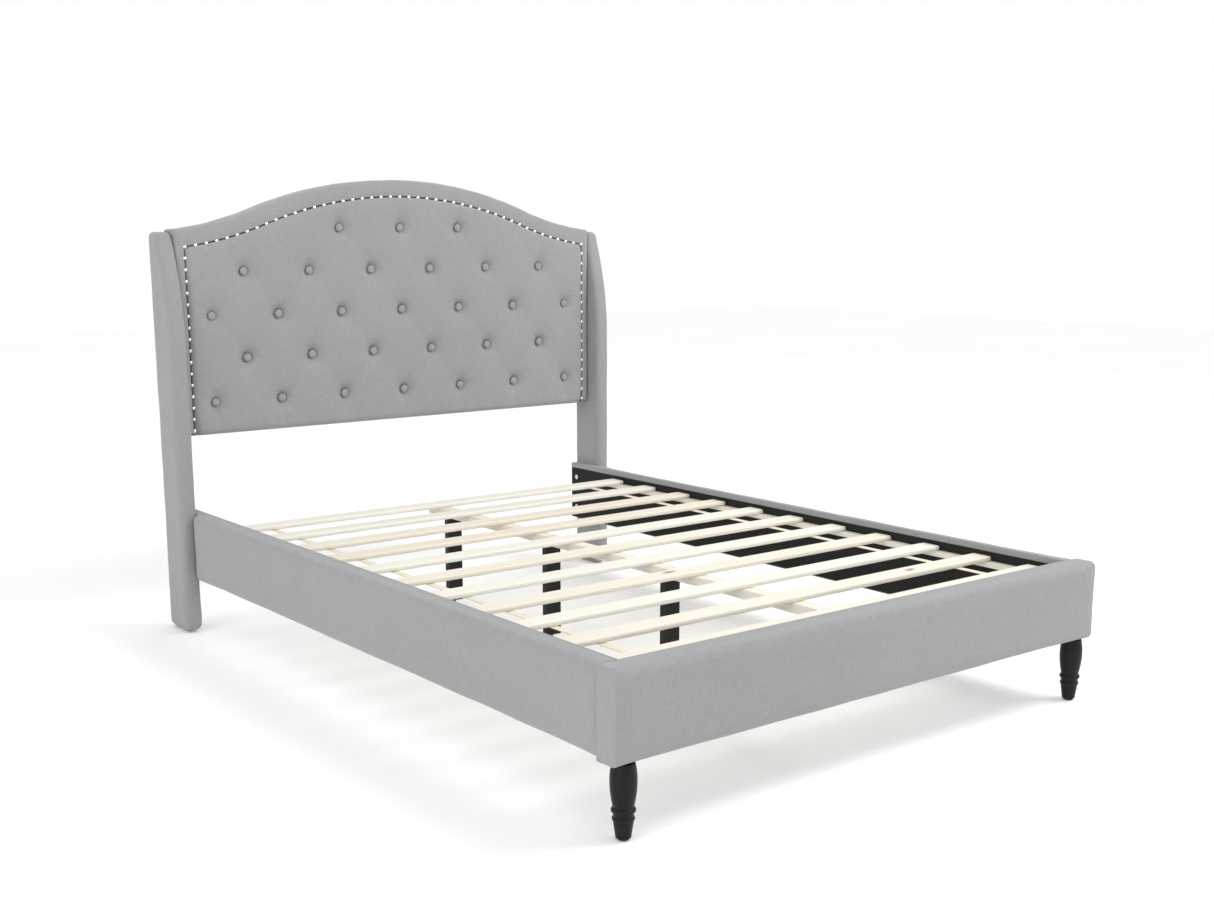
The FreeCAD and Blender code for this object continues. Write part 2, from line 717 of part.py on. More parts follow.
def make_side_rails():
    """Board, padded cover, lining and slat ledger of each side rail."""
    through = "rail_board_thickness + 2 * cut_overrun"
    near_face = "inner_half - cut_overrun"
    for side, sign in SIDES:
        board = box(f"rail_blank_{side}",
                    ("rail_board_thickness", "rail_board_length", "board_height"),
                    (outward(sign, "board_inner", "rail_board_thickness"), "foot_inner",
                     "board_bottom"))
        lining = box(f"lining_blank_{side}",
                     ("lining_thickness", "rail_board_length", "lining_height"),
                     (outward(sign, "inner_half", "lining_thickness"), "foot_inner",
                      "board_bottom"))
        into, back = ("+x", "-x") if sign > 0 else ("-x", "+x")
        holes = [
            rod(f"rail_head_hole_{side}_{index}", "bolt_bore", through,
                (mirrored(sign, near_face), "head_bolt_y", height), into)
            for index, height in enumerate(bolt_rows("rail_middle", "head_bolt_spread"))
        ]
        seats = []
        for index, height in enumerate(bolt_rows("bracket_middle", "bracket_bolt_spread")):
            y = "foot_inner + bracket_bolt_inset"
            holes.append(rod(f"rail_foot_hole_{side}_{index}", "bolt_bore",
                             through, (mirrored(sign, near_face), y, height), into))
            start = (mirrored(sign, "board_outer"), y, height)
            seats.append(rod(f"rail_tee_bore_{side}_{index}", "tee_bore",
                             "tee_barrel_length + bolt_clearance", start, back))
            seats.append(rod(f"rail_tee_seat_{side}_{index}",
                             "tee_flange_diameter + bolt_clearance",
                             "tee_flange_thickness", start, back))
        node(f"side_rail_board_{side}", cut(f"side_rail_board_{side}", board, holes + seats))
        node(f"side_rail_lining_{side}",
             cut(f"side_rail_lining_{side}", lining, [group(f"lining_holes_{side}", holes)]))

        low, high = ("inner_half", "rail_outer") if sign > 0 else ("0 - rail_outer", "0 - inner_half")
        outer = "rail_corner_radius"
        fold = "wrap_bottom"
        radii = (None, outer, outer, fold) if sign > 0 else (outer, None, fold, outer)
        cover = new_body(f"rail_cover_blank_{side}", y="rail_cover_end")
        pad(cover, "XZ_Plane", rounded(low, high, "rail_bottom", "rail_top", radii),
            "rail_cover_end - rail_cover_start")
        node(f"side_rail_cover_{side}",
             cut(f"side_rail_cover_{side}", cover, [board, lining]))

        node(f"slat_ledger_{side}", box(
            f"slat_ledger_{side}",
            ("ledger_width", "slat_last + slat_width - foot_inner", "ledger_height"),
            (outward(sign, "inner_half - ledger_width", "ledger_width"), "foot_inner",
             "slat_bottom - ledger_height")))


# ---------------------------------------------------------------- foot rail

def make_foot_rail():
    """Board, padded cover and lining of the foot rail."""
    board = box("foot_blank", ("2 * foot_board_half", "foot_board_depth", "board_height"),
                ("0 - foot_board_half", "foot_front + foot_padding", "board_bottom"))
    lining = box("foot_lining_blank", ("2 * inner_half", "lining_thickness", "lining_height"),
                 ("0 - inner_half", "foot_inner - lining_thickness", "board_bottom"))
    insert_bore = "hanger_insert_diameter + bolt_clearance"
    insert_depth = "insert_length + bolt_clearance"
    holes = []
    seats = []
    for side, sign in SIDES:
        x = mirrored(sign, "inner_half - bracket_bolt_inset")
        for index, height in enumerate(bolt_rows("bracket_middle", "bracket_bolt_spread")):
            holes.append(rod(f"foot_hole_{side}_{index}", "bolt_bore", "bolt_reach",
                             (x, "foot_inner", height), "-y"))
            seats.append(rod(f"foot_insert_hole_{side}_{index}", insert_bore, insert_depth,
                             (x, "foot_inner - lining_thickness", height), "-y"))
        leg_spot = (mirrored(sign, "leg_center_x"), "leg_center_y")
        seats.append(rod(f"hanger_bore_{side}", "bolt_bore",
                         "hanger_length / 2 + bolt_clearance", (*leg_spot, "rail_bottom")))
        seats.append(rod(f"leg_insert_bore_{side}", insert_bore, insert_depth,
                         (*leg_spot, "board_bottom")))
    beam_screws = [
        rod(f"foot_screw_hole_{index}", "screw_diameter + screw_clearance", "screw_length",
            (x, "foot_inner", "beam_bottom - beam_plate_height / 2"), "-y")
        for index, x in enumerate(("0 - beam_width / 3", "beam_width / 3"))
    ]
    node("foot_rail_board", cut("foot_rail_board", board, holes + seats + beam_screws))
    node("foot_rail_lining",
         cut("foot_rail_lining", lining, [group("foot_lining_holes", holes + beam_screws)]))

    body = new_body("foot_cover_blank", x="0 - foot_half")
    corner = "foot_corner_radius"
    slab = pad(body, "YZ_Plane",
               rounded("foot_front", "foot_inner", "rail_bottom", "rail_top",
                       (corner, None, "wrap_bottom", corner)), "2 * foot_half")
    ends = (0, value("2 * foot_half"))
    inner = value("foot_inner")
    round_edges(body, slab, "foot_corner_radius",
                lambda edge: any(lies_at(edge, "X", end) for end in ends)
                and not lies_at(edge, "Y", inner))
    bolt_ways = [
        rod(f"cover_hanger_bore_{side}", "bolt_bore", "wrap_bottom + 2 * cut_overrun",
            (mirrored(sign, "leg_center_x"), "leg_center_y", "rail_bottom - cut_overrun"))
        for side, sign in SIDES
    ]
    node("foot_rail_cover", cut("foot_rail_cover", body, [board, lining] + bolt_ways))


# ---------------------------------------------------------------- legs and glides

def make_front_legs():
    """Turned legs under the ends of the foot rail, with hanger bolts and inserts."""
    path = [
        ("0", "glide_thickness"),
        ("leg_ankle_radius - leg_toe_radius", "glide_thickness", "leg_toe_radius", 1),
        ("leg_ankle_radius", "glide_thickness + leg_toe_radius"),
        ("leg_ankle_radius", "leg_toe_height"),
        ("leg_groove_radius", "leg_bead_bottom - leg_bead_step"),
        ("leg_groove_radius", "leg_bead_bottom", "leg_bead_roundness", 1),
        ("leg_groove_radius", "leg_groove_height"),
        ("leg_groove_radius", "leg_groove_height + leg_groove_width"),
        ("leg_waist_radius", "leg_ring_height - leg_ring_thickness / 2", "leg_ring_roundness", 1),
        ("leg_waist_radius", "leg_ring_height + leg_ring_thickness / 2"),
        ("leg_waist_radius", "leg_waist_height", "leg_waist_roundness", 1),
        ("leg_belly_radius", "leg_belly_height", "leg_belly_roundness", 1),
        ("leg_top_radius", "rail_bottom"),
        ("0", "rail_bottom"),
    ]
    bolts = []
    inserts = []
    for side, sign in SIDES:
        spot = (mirrored(sign, "leg_center_x"), "leg_center_y")
        body = new_body(f"leg_blank_{side}", x=spot[0], y=spot[1])
        sketch = outline(body, body.Name + "_outline", "XZ_Plane", path)
        turned = body.newObject("PartDesign::Revolution", body.Name + "_turning")
        turned.Profile = sketch
        turned.ReferenceAxis = (sketch, ["V_Axis"])
        turned.Angle = 360
        body.Tip = turned
        bolt_bottom = "rail_bottom - hanger_length / 2"
        bore = rod(f"leg_bore_{side}", "bolt_bore", "hanger_length",
                   (*spot, f"{bolt_bottom} - bolt_clearance"))
        node(f"front_leg_{side}", cut(f"front_leg_{side}", body, [bore]))
        bolts.append(rod(f"hanger_{side}", "bolt_diameter", "hanger_length - 2 * bolt_clearance",
                         (*spot, bolt_bottom)))
        sleeve = rod(f"leg_insert_blank_{side}", "hanger_insert_diameter", "insert_length",
                     (*spot, "board_bottom"))
        hole = rod(f"leg_insert_hole_{side}", "bolt_bore", "insert_length + 2 * cut_overrun",
                   (*spot, "board_bottom - cut_overrun"))
        inserts.append(cut(f"leg_insert_{side}", sleeve, [hole]))
    node("leg_hanger_bolts", group("leg_hanger_bolts", bolts))
    return inserts


def make_glides():
    """Nylon glides under the front legs and under both ends of each wing core."""
    middle = "board_outer + wing_thickness / 2"
    spots = [("leg_center_x", "leg_center_y")]
    spots += [(middle, "wing_front + wing_padding + wing_toe_radius + glide_diameter / 2"),
              (middle, "wing_back - wing_padding - glide_diameter")]
    glides = [
        rod(f"glide_{side}_{index}", "glide_diameter", "glide_thickness", (mirrored(sign, x), y, "0"))
        for side, sign in SIDES for index, (x, y) in enumerate(spots)
    ]
    node("floor_glides", group("floor_glides", glides))


# ---------------------------------------------------------------- centre support

def screw(name, x, y, z, axis):
    """A flat-headed screw with its head at the start."""
    head = rod(name + "_head", "screw_head_diameter", "screw_head_height", (x, y, z), axis)
    shank = rod(name + "_shank", "screw_diameter", "screw_length", (x, y, z), axis)
    return joined(name, [head, shank])


def screw_bore(name, x, y, z, axis):
    """Room for such a screw."""
    head = rod(name + "_head", "screw_head_diameter + screw_clearance",
               "screw_head_height", (x, y, z), axis)
    shank = rod(name + "_shank", "screw_diameter + screw_clearance",
                "screw_length + screw_clearance", (x, y, z), axis)
    return joined(name, [head, shank])


def make_center_support():
    """Beam on three flat legs, each with a threaded insert for its levelling foot."""
    screws = []
    beam_bores = []
    inserts = []
    for index in range(CENTER_LEG_COUNT):
        number = index + 1
        y = f"center_leg_first + {index} * center_leg_pitch"
        leg = box(f"center_leg_blank_{number}",
                  ("center_leg_width", "center_leg_depth", "beam_bottom - center_leg_lift"),
                  ("0 - center_leg_width / 2", f"{y} - center_leg_depth / 2", "center_leg_lift"))
        bores = []
        for end, x in enumerate(("0 - beam_width / 4", "beam_width / 4")):
            spot = (x, y, "slat_bottom")
            screws.append(screw(f"leg_screw_{number}_{end}", *spot, "-z"))
            bores.append(screw_bore(f"leg_screw_bore_{number}_{end}", *spot, "-z"))
        beam_bores += bores
        insert_bore = rod(f"foot_insert_bore_{number}", "insert_diameter + screw_clearance",
                          "insert_length", ("0", y, "center_leg_lift"))
        stem_room = rod(f"stem_room_{number}", "stem_bore",
                        "foot_stem_length + foot_travel - foot_gap + stem_end_clearance",
                        ("0", y, "center_leg_lift"))
        node(f"center_leg_{number}",
             cut(f"center_leg_{number}", leg, bores + [insert_bore, stem_room]))
        sleeve = rod(f"foot_insert_blank_{number}", "insert_diameter", "insert_length",
                     ("0", y, "center_leg_lift"))
        hole = rod(f"foot_insert_hole_{number}", "stem_bore", "insert_length + 2 * cut_overrun",
                   ("0", y, "center_leg_lift - cut_overrun"))
        inserts.append(cut(f"foot_insert_{number}", sleeve, [hole]))
        base = rod(f"foot_base_{number}", "foot_pad_diameter", "foot_pad_height", ("0", y, "0"))
        stem = rod(f"foot_stem_{number}", "foot_stem_diameter", "foot_stem_length",
                   ("0", y, "foot_pad_height / 2"))
        node(f"leveling_foot_{number}", joined(f"leveling_foot_{number}", [base, stem]))
    node("leveling_inserts", group("leveling_inserts", inserts))
    node("center_leg_screws", group("center_leg_screws", screws))

    head_spots = [("0", f"slat_last + ({offset})", "slat_top")
                  for offset in ("slat_width / 4", "0 - slat_width / 4")]
    head_bores = [screw_bore(f"beam_head_bore_{index}", *spot, "-z")
                  for index, spot in enumerate(head_spots)]
    beam = box("beam_blank", ("beam_width", "beam_end - foot_inner", "beam_height"),
               ("0 - beam_width / 2", "foot_inner", "beam_bottom"))
    seat_screw = ("0", "foot_inner + beam_seat_screw_inset", "beam_bottom - bracket_thickness")
    seat_bore = rod("beam_seat_bore", "screw_diameter + screw_clearance",
                    "beam_seat_screw_length + screw_clearance", seat_screw)
    node("center_beam", cut("center_beam", beam, beam_bores + head_bores + [seat_bore]))

    plate = box("beam_plate", ("beam_width", "bracket_thickness", "beam_plate_height"),
                ("0 - beam_width / 2", "foot_inner", "beam_bottom - beam_plate_height"))
    seat = box("beam_seat", ("beam_width", "beam_seat_depth", "bracket_thickness"),
               ("0 - beam_width / 2", "foot_inner", "beam_bottom - bracket_thickness"))
    wall_spots = [(x, "foot_inner + bracket_thickness + screw_head_height",
                   "beam_bottom - beam_plate_height / 2")
                  for x in ("0 - beam_width / 3", "beam_width / 3")]
    wall_holes = [rod(f"beam_plate_hole_{index}", "screw_diameter + screw_clearance",
                      "screw_length", spot, "-y") for index, spot in enumerate(wall_spots)]
    node("beam_bracket", cut("beam_bracket", joined("beam_angle", [plate, seat]),
                             wall_holes + [seat_bore]))
    beam_screws = [screw(f"beam_wall_screw_{index}", *spot, "-y")
                   for index, spot in enumerate(wall_spots)]
    beam_screws += [screw(f"beam_head_screw_{index}", *spot, "-z")
                    for index, spot in enumerate(head_spots)]
    short_start = (seat_screw[0], seat_screw[1], f"{seat_screw[2]} - screw_head_height")
    short_head = rod("seat_screw_head", "screw_head_diameter", "screw_head_height", short_start)
    short_shank = rod("seat_screw_shank", "screw_diameter",
                      "screw_head_height + beam_seat_screw_length", short_start)
    beam_screws.append(joined("seat_screw", [short_head, short_shank]))
    node("beam_screws", group("beam_screws", beam_screws))
    return head_bores


# ---------------------------------------------------------------- slats

def make_slats(head_bores):
    """Eleven slats with rounded long edges, on two webbing straps."""
    half = "slat_width / 2"
    radius = "slat_edge_radius"
    path = rounded(f"0 - {half}", half, "0", "slat_thickness", (radius, radius, radius, radius))
    for index in range(SLAT_COUNT):
        name = f"slat_{index + 1:02d}"
        body = new_body(name + "_blank", x="0 - slat_length / 2",
                        y=f"slat_first + {index} * slat_pitch", z="slat_bottom")
        pad(body, "YZ_Plane", path, "slat_length")
        last = index == SLAT_COUNT - 1
        node(name, cut(name, body, head_bores) if last else body)
    straps = [
        box(f"strap_{side}",
            ("strap_width", "slat_last - slat_first + slat_width", "strap_thickness"),
            (outward(sign, "strap_center - strap_width / 2", "strap_width"),
             "slat_first - slat_width / 2", "slat_bottom - strap_thickness"))
        for side, sign in SIDES
    ]
    node("slat_straps", group("slat_straps", straps))


# ---------------------------------------------------------------- bolts and brackets

def bolt(name, length, start, axis, back):
    """A bolt whose head stands out behind start and whose shank runs along the axis."""
    head = rod(name + "_head", "bolt_head_diameter", "bolt_head_height", start, back)
    shank = rod(name + "_shank", "bolt_diameter", length, start, axis)
    return joined(name, [head, shank])


def tee_nut(name, start, axis):
    """A flanged nut that is let in flush, its flange at start."""
    flange = rod(name + "_flange", "tee_flange_diameter", "tee_flange_thickness", start, axis)
    barrel = rod(name + "_barrel", "tee_barrel_diameter", "tee_barrel_length", start, axis)
    bore = rod(name + "_bore", "bolt_diameter + bolt_clearance / 2",
               "tee_barrel_length + cut_overrun", start, axis)
    return cut(name, joined(name + "_body", [flange, barrel]), [bore])


def make_hardware(inserts):
    """Brackets, bolts, tee nuts and inserts that hold rails, wings and headboard together."""
    head_bolts = []
    stile_bolts = []
    corner_bolts = []
    nuts = []
    brackets = []
    for side, sign in SIDES:
        into, back = ("+x", "-x") if sign > 0 else ("-x", "+x")
        for index, z in enumerate(bolt_rows("rail_middle", "head_bolt_spread")):
            head_bolts.append(bolt(f"head_bolt_{side}_{index}",
                                   "lining_thickness + rail_board_thickness + wing_padding"
                                   " + wing_core_thickness - tee_flange_thickness",
                                   (mirrored(sign, "inner_half"), "head_bolt_y", z), into, back))
            nuts.append(tee_nut(f"head_nut_{side}_{index}",
                                (mirrored(sign, "wing_core_outer"), "head_bolt_y", z), back))
        for index, z in enumerate(bolt_rows("stile_bolt_middle", "stile_bolt_spread")):
            stile_bolts.append(bolt(f"stile_bolt_{side}_{index}",
                                    "frame_member_width + wing_padding + wing_core_thickness"
                                    " - tee_flange_thickness",
                                    (mirrored(sign, "board_outer - frame_member_width"),
                                     "stile_bolt_y", z), into, back))
            nuts.append(tee_nut(f"stile_nut_{side}_{index}",
                                (mirrored(sign, "wing_core_outer"), "stile_bolt_y", z), back))

        face = "inner_half - bracket_thickness"
        low = "bracket_middle - bracket_height / 2"
        along = box(f"bracket_side_{side}", ("bracket_thickness", "bracket_arm", "bracket_height"),
                    (outward(sign, face, "bracket_thickness"), "foot_inner", low))
        across = box(f"bracket_foot_{side}", ("bracket_arm", "bracket_thickness", "bracket_height"),
                     (outward(sign, "inner_half - bracket_arm", "bracket_arm"), "foot_inner", low))
        holes = []
        for index, z in enumerate(bolt_rows("bracket_middle", "bracket_bolt_spread")):
            y = "foot_inner + bracket_bolt_inset"
            x = mirrored(sign, "inner_half - bracket_bolt_inset")
            holes.append(rod(f"bracket_hole_a_{side}_{index}", "bolt_bore", "2 * cut_overrun",
                             (mirrored(sign, "inner_half - cut_overrun"), y, z), into))
            holes.append(rod(f"bracket_hole_b_{side}_{index}", "bolt_bore", "2 * cut_overrun",
                             (x, "foot_inner + cut_overrun", z), "-y"))
            corner_bolts.append(bolt(f"corner_bolt_a_{side}_{index}",
                                     "bracket_thickness + lining_thickness"
                                     " + rail_board_thickness - tee_flange_thickness",
                                     (mirrored(sign, face), y, z), into, back))
            corner_bolts.append(bolt(f"corner_bolt_b_{side}_{index}", "bolt_reach",
                                     (x, "foot_inner + bracket_thickness", z), "-y", "+y"))
            nuts.append(tee_nut(f"corner_nut_{side}_{index}",
                                (mirrored(sign, "board_outer"), y, z), back))
            sleeve = rod(f"foot_insert_blank_{side}_{index}", "hanger_insert_diameter",
                         "insert_length", (x, "foot_inner - lining_thickness", z), "-y")
            hole = rod(f"foot_insert_hole_in_{side}_{index}", "bolt_bore",
                       "insert_length + 2 * cut_overrun", (x, "foot_inner", z), "-y")
            inserts.append(cut(f"foot_insert_in_{side}_{index}", sleeve, [hole]))
        angle = joined(f"bracket_angle_{side}", [along, across])
        brackets.append(cut(f"bracket_{side}", angle, holes))
    node("rail_head_bolts", group("rail_head_bolts", head_bolts))
    node("headboard_bolts", group("headboard_bolts", stile_bolts))
    node("corner_bolts", group("corner_bolts", corner_bolts))
    node("tee_nuts", group("tee_nuts", nuts))
    node("corner_brackets", group("corner_brackets", brackets))
    node("threaded_inserts", group("threaded_inserts", inserts))


make_headboard_frame()
make_tufted_pad()
make_border_band()
make_buttons()
make_nails()
make_wings()
make_side_rails()
make_foot_rail()
leg_inserts = make_front_legs()
make_glides()
slat_bores = make_center_support()
make_slats(slat_bores)
make_hardware(leg_inserts)
document.recompute()

# ---------------------------------------------------------------- checks and export

for item in document.Objects:
    if "Invalid" in item.State or "Error" in item.State:
        raise RuntimeError(f"{item.Name} did not recompute: {item.State}")
for item in nodes:
    if item.Shape.isNull() or not item.Shape.isValid():
        raise RuntimeError(f"{item.Label} has no valid shape")

os.makedirs("parts", exist_ok=True)
for item in nodes:
    item.Shape.exportStep(f"parts/{item.Label}.step")
print(len(nodes), "nodes written")
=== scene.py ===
import json
import math

import bmesh
import bpy
import numpy as np
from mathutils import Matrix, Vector, noise


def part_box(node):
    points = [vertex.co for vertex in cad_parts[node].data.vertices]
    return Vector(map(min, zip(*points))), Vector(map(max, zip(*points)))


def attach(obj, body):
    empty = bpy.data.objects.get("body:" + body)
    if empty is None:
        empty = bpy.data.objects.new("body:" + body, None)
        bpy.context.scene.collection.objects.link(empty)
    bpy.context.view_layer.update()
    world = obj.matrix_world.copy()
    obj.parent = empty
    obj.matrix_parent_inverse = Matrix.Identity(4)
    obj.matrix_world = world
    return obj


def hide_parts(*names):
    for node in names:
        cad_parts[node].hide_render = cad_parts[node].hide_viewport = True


# Looks of the upholstered bed, in metres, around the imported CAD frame.

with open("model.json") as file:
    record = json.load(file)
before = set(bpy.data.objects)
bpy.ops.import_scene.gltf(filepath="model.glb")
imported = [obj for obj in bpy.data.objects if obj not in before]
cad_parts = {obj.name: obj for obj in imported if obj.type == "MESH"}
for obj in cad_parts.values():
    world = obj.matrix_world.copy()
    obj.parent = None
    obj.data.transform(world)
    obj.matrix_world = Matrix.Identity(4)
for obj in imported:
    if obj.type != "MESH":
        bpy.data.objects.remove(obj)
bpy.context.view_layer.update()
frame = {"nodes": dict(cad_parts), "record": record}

# ---------------------------------------------------------------- sizes

MM = 0.001

# headboard outline and pad
CROWN_RADIUS = 1.295
CROWN_RUN = 0.470
SHOULDER_RADIUS = 0.940
NAIL_LINE = 0.050
CHANNEL = 1.4 * MM
CHANNEL_DEPTH = 3.0 * MM
BORDER_SIDE = 28 * MM
BORDER_PROUD = 0.8 * MM
BORDER_SWELL = 1.6 * MM
BORDER_TURNED = 12 * MM
PAD_ROLL = 22 * MM
PAD_STEP = 6.5 * MM
PAD_RISE = 0.65
LIP = 8 * MM
DUST_COVER_INSET = 6 * MM

# tufting
TUFT_ROWS = (7, 6, 7, 6, 3)
TUFT_PITCH = 0.208
TUFT_STEP = 123.5 * MM
TUFT_FIRST = 93 * MM
BUTTON_SEAT = 14.5 * MM
DIMPLE_DEPTH = 18 * MM
BUTTON_RADIUS = 11.5 * MM
# bell curves, each with its height and its width
DIMPLE_BELLS = ((0.40, 12 * MM), (0.36, 26 * MM), (0.24, 62 * MM))
FOLD_BELLS = ((1.5 * MM, 4.5 * MM), (3.2 * MM, 24 * MM))

# covers
COVER_BEHIND_LINING = 1.5 * MM
HEM_HEIGHT = 16 * MM
RAIL_RADIUS = 17 * MM
FOOT_RADIUS = 15 * MM
FOOT_END_RADIUS = 7 * MM
RAIL_END_WRAP = 1.5 * MM
RAIL_END_PROUD = 0.15 * MM
HEM_PROUD = 0.4 * MM
WING_RADIUS = 12 * MM

# wing outline
WING_SWEEP_HEIGHT = 0.342
WING_SWEEP_RADIUS = 0.845
WING_TOP_RADIUS = 22 * MM
WING_TOE_RADIUS = 28 * MM
WING_BACK_RADIUS = 6 * MM
WING_SHRINK = 1.5 * MM

# timber
SLAT_PITCH = 167.4 * MM
PLY_PAIR = 2.4 * MM

# cloth
VOXEL = 6 * MM
CLOTH_FRAMES = 20
CLOTH_STIFFNESS = 14.0
PAD_PRESSURE = 3
WING_PRESSURE = 4
PAD_SWELL = 5 * MM
COVER_SWELL = 3 * MM

NODE_BOX = {name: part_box(name) for name in frame["nodes"]}
SIDES = (("left", -1), ("right", 1))


def low(node):
    return NODE_BOX[node][0]


def high(node):
    return NODE_BOX[node][1]


PAD_FRONT = low("tufted_pad").y
PAD_BOTTOM = low("tufted_pad").z
PANEL_FRONT = low("headboard_panel").y
CLOTH_BACK = high("headboard_back_cloth").y
BOARD_OUTER = high("headboard_panel").x
CROWN_PEAK = high("border_band").z
BORDER_FRONT = low("border_band").y
BORDER_BOTTOM = low("border_band").z
BORDER_OUTER = BOARD_OUTER + BORDER_PROUD
NAIL_HALF = BOARD_OUTER - BORDER_SIDE
PAD_HALF = NAIL_HALF - CHANNEL


# ---------------------------------------------------------------- colours and grain

PINE_PALE = (0.80, 0.80, 0.75)
PINE_DARK = (0.71, 0.65, 0.54)
TIMBER_PALE = (0.66, 0.49, 0.29)
TIMBER_DARK = (0.46, 0.30, 0.15)
WOOD_STAIN = (0.90, 0.83, 0.72)
KNOT = (0.20, 0.10, 0.045)
LINEN = (0.290, 0.294, 0.298)
WEBBING = (0.74, 0.66, 0.52)
ZINC = (0.66, 0.66, 0.64)
NICKEL = (0.86, 0.86, 0.84)
GRAIN_STRETCH = 0.055
KNOT_STRETCH = 0.45
SLUB_SCALE = 28


# ---------------------------------------------------------------- shader helpers

def material(name):
    """A new material with its node tree, its shader and a small function that adds nodes."""
    made = bpy.data.materials.new(name)
    made.use_nodes = True
    nodes = made.node_tree.nodes
    links = made.node_tree.links
    shader = nodes["Principled BSDF"]

    def add(kind, inputs=(), **settings):
        item = nodes.new(kind)
        for key, setting in settings.items():
            setattr(item, key, setting)
        for socket, source in dict(inputs).items():
            if isinstance(source, bpy.types.NodeSocket):
                links.new(source, item.inputs[socket])
            else:
                item.inputs[socket].default_value = source
        return item

    return made, shader, add, links


def math_node(add, operation, first, second=0.0):
    return add("ShaderNodeMath", {0: first, 1: second}, operation=operation).outputs[0]


def mix_color(add, factor, first, second, blend="MIX"):
    item = add("ShaderNodeMix", {0: factor, 6: first, 7: second}, data_type="RGBA", blend_type=blend)
    return item.outputs[2]


def stretched(add, coordinates, scale):
    return add("ShaderNodeMapping", {"Vector": coordinates, "Scale": scale}).outputs[0]


def noise_value(add, coordinates, scale, detail=2.0, distortion=0.0):
    item = add("ShaderNodeTexNoise", {"Vector": coordinates, "Scale": scale, "Detail": detail,
                                      "Distortion": distortion})
    return item.outputs[0]


def ramp(add, factor, stops):
    item = add("ShaderNodeValToRGB", {0: factor})
    ends = item.color_ramp.elements
    while len(ends) < len(stops):
        ends.new(0.5)
    for stop, (position, color) in zip(ends, stops):
        stop.position = position
        stop.color = (*color, 1) if len(color) == 3 else color
    return item.outputs[0]


def object_place(add):
    return add("ShaderNodeTexCoord").outputs["Object"]


def rough_by(add, links, shader, value, least, most):
    """Roughness from least to most, by a value from 0 to 1."""
    level = add("ShaderNodeMapRange", {0: value, 3: least, 4: most}).outputs[0]
    links.new(level, shader.inputs["Roughness"])


def gray(value):
    return (value, value, value)


def bump(add, height, distance, strength):
    return add("ShaderNodeBump", {"Strength": strength, "Distance": distance, "Height": height}).outputs[0]


def threads(add, across, along, pitch):
    """Plain weave over two coordinates: its height, and how far each thread's tone is off."""
    turns = 2 * math.pi / pitch
    warp = math_node(add, "SINE", math_node(add, "MULTIPLY", across, turns))
    weft = math_node(add, "SINE", math_node(add, "MULTIPLY", along, turns))
    crossed = math_node(add, "MULTIPLY", warp, weft)
    height = add("ShaderNodeMath", {0: crossed, 1: 0.5, 2: 0.5}, operation="MULTIPLY_ADD").outputs[0]
    flat = add("ShaderNodeCombineXYZ", {0: across, 1: along}).outputs[0]
    fine = 1 / (2 * pitch)
    warp_slubs = noise_value(add, stretched(add, flat, (fine, SLUB_SCALE, 1)), 1.0)
    weft_slubs = noise_value(add, stretched(add, flat, (SLUB_SCALE, fine, 1)), 1.0)
    tone = math_node(add, "ADD", warp_slubs, weft_slubs)
    return height, tone


def weave(add, pitch):
    """Thread height and tone on every side of a solid, by which way the surface faces."""
    place = add("ShaderNodeSeparateXYZ", {0: object_place(add)})
    facing = add("ShaderNodeSeparateXYZ", {0: add("ShaderNodeNewGeometry").outputs["Normal"]})
    x, y, z = place.outputs
    height = tone = None
    shares = [math_node(add, "POWER", math_node(add, "ABSOLUTE", side), 4.0) for side in facing.outputs]
    total = math_node(add, "ADD", math_node(add, "ADD", shares[0], shares[1]), shares[2])
    for share, (across, along) in zip(shares, ((y, z), (x, z), (x, y))):
        part = math_node(add, "DIVIDE", share, total)
        plane_height, plane_tone = threads(add, across, along, pitch)
        weighted_height = math_node(add, "MULTIPLY", plane_height, part)
        weighted_tone = math_node(add, "MULTIPLY", plane_tone, part)
        height = weighted_height if height is None else math_node(add, "ADD", height, weighted_height)
        tone = weighted_tone if tone is None else math_node(add, "ADD", tone, weighted_tone)
    return height, tone


# ---------------------------------------------------------------- materials

def make_linen(name, color, pitch=1.3 * MM):
    """Matte woven upholstery cloth with slubs and a soft sheen."""
    made, shader, add, links = material(name)
    height, tone = weave(add, pitch)
    place = object_place(add)
    clouds = noise_value(add, place, 3.2, 3.0)
    dark = tuple(0.90 * channel for channel in color)
    light = tuple(1.07 * channel for channel in color)
    tone_part = add("ShaderNodeMapRange", {0: tone, 1: 0.66, 2: 1.34}).outputs[0]
    shade = mix_color(add, tone_part, (*dark, 1), (*light, 1))
    cloud_tone = ramp(add, clouds, [(0.30, gray(0.965)), (0.70, gray(1.0))])
    shade = mix_color(add, 1.0, shade, cloud_tone, "MULTIPLY")
    links.new(shade, shader.inputs["Base Color"])
    rough_by(add, links, shader, tone_part, 0.96, 0.84)
    fuzz = noise_value(add, place, 420.0, 3.0)
    relief = math_node(add, "ADD", height, math_node(add, "MULTIPLY", tone_part, 0.8))
    relief = math_node(add, "ADD", relief, math_node(add, "MULTIPLY", fuzz, 0.5))
    links.new(bump(add, relief, 0.25 * MM, 0.7), shader.inputs["Normal"])
    shader.inputs["Sheen Weight"].default_value = 0.22
    shader.inputs["Sheen Roughness"].default_value = 0.5
    shader.inputs["Specular IOR Level"].default_value = 0.25
    return made


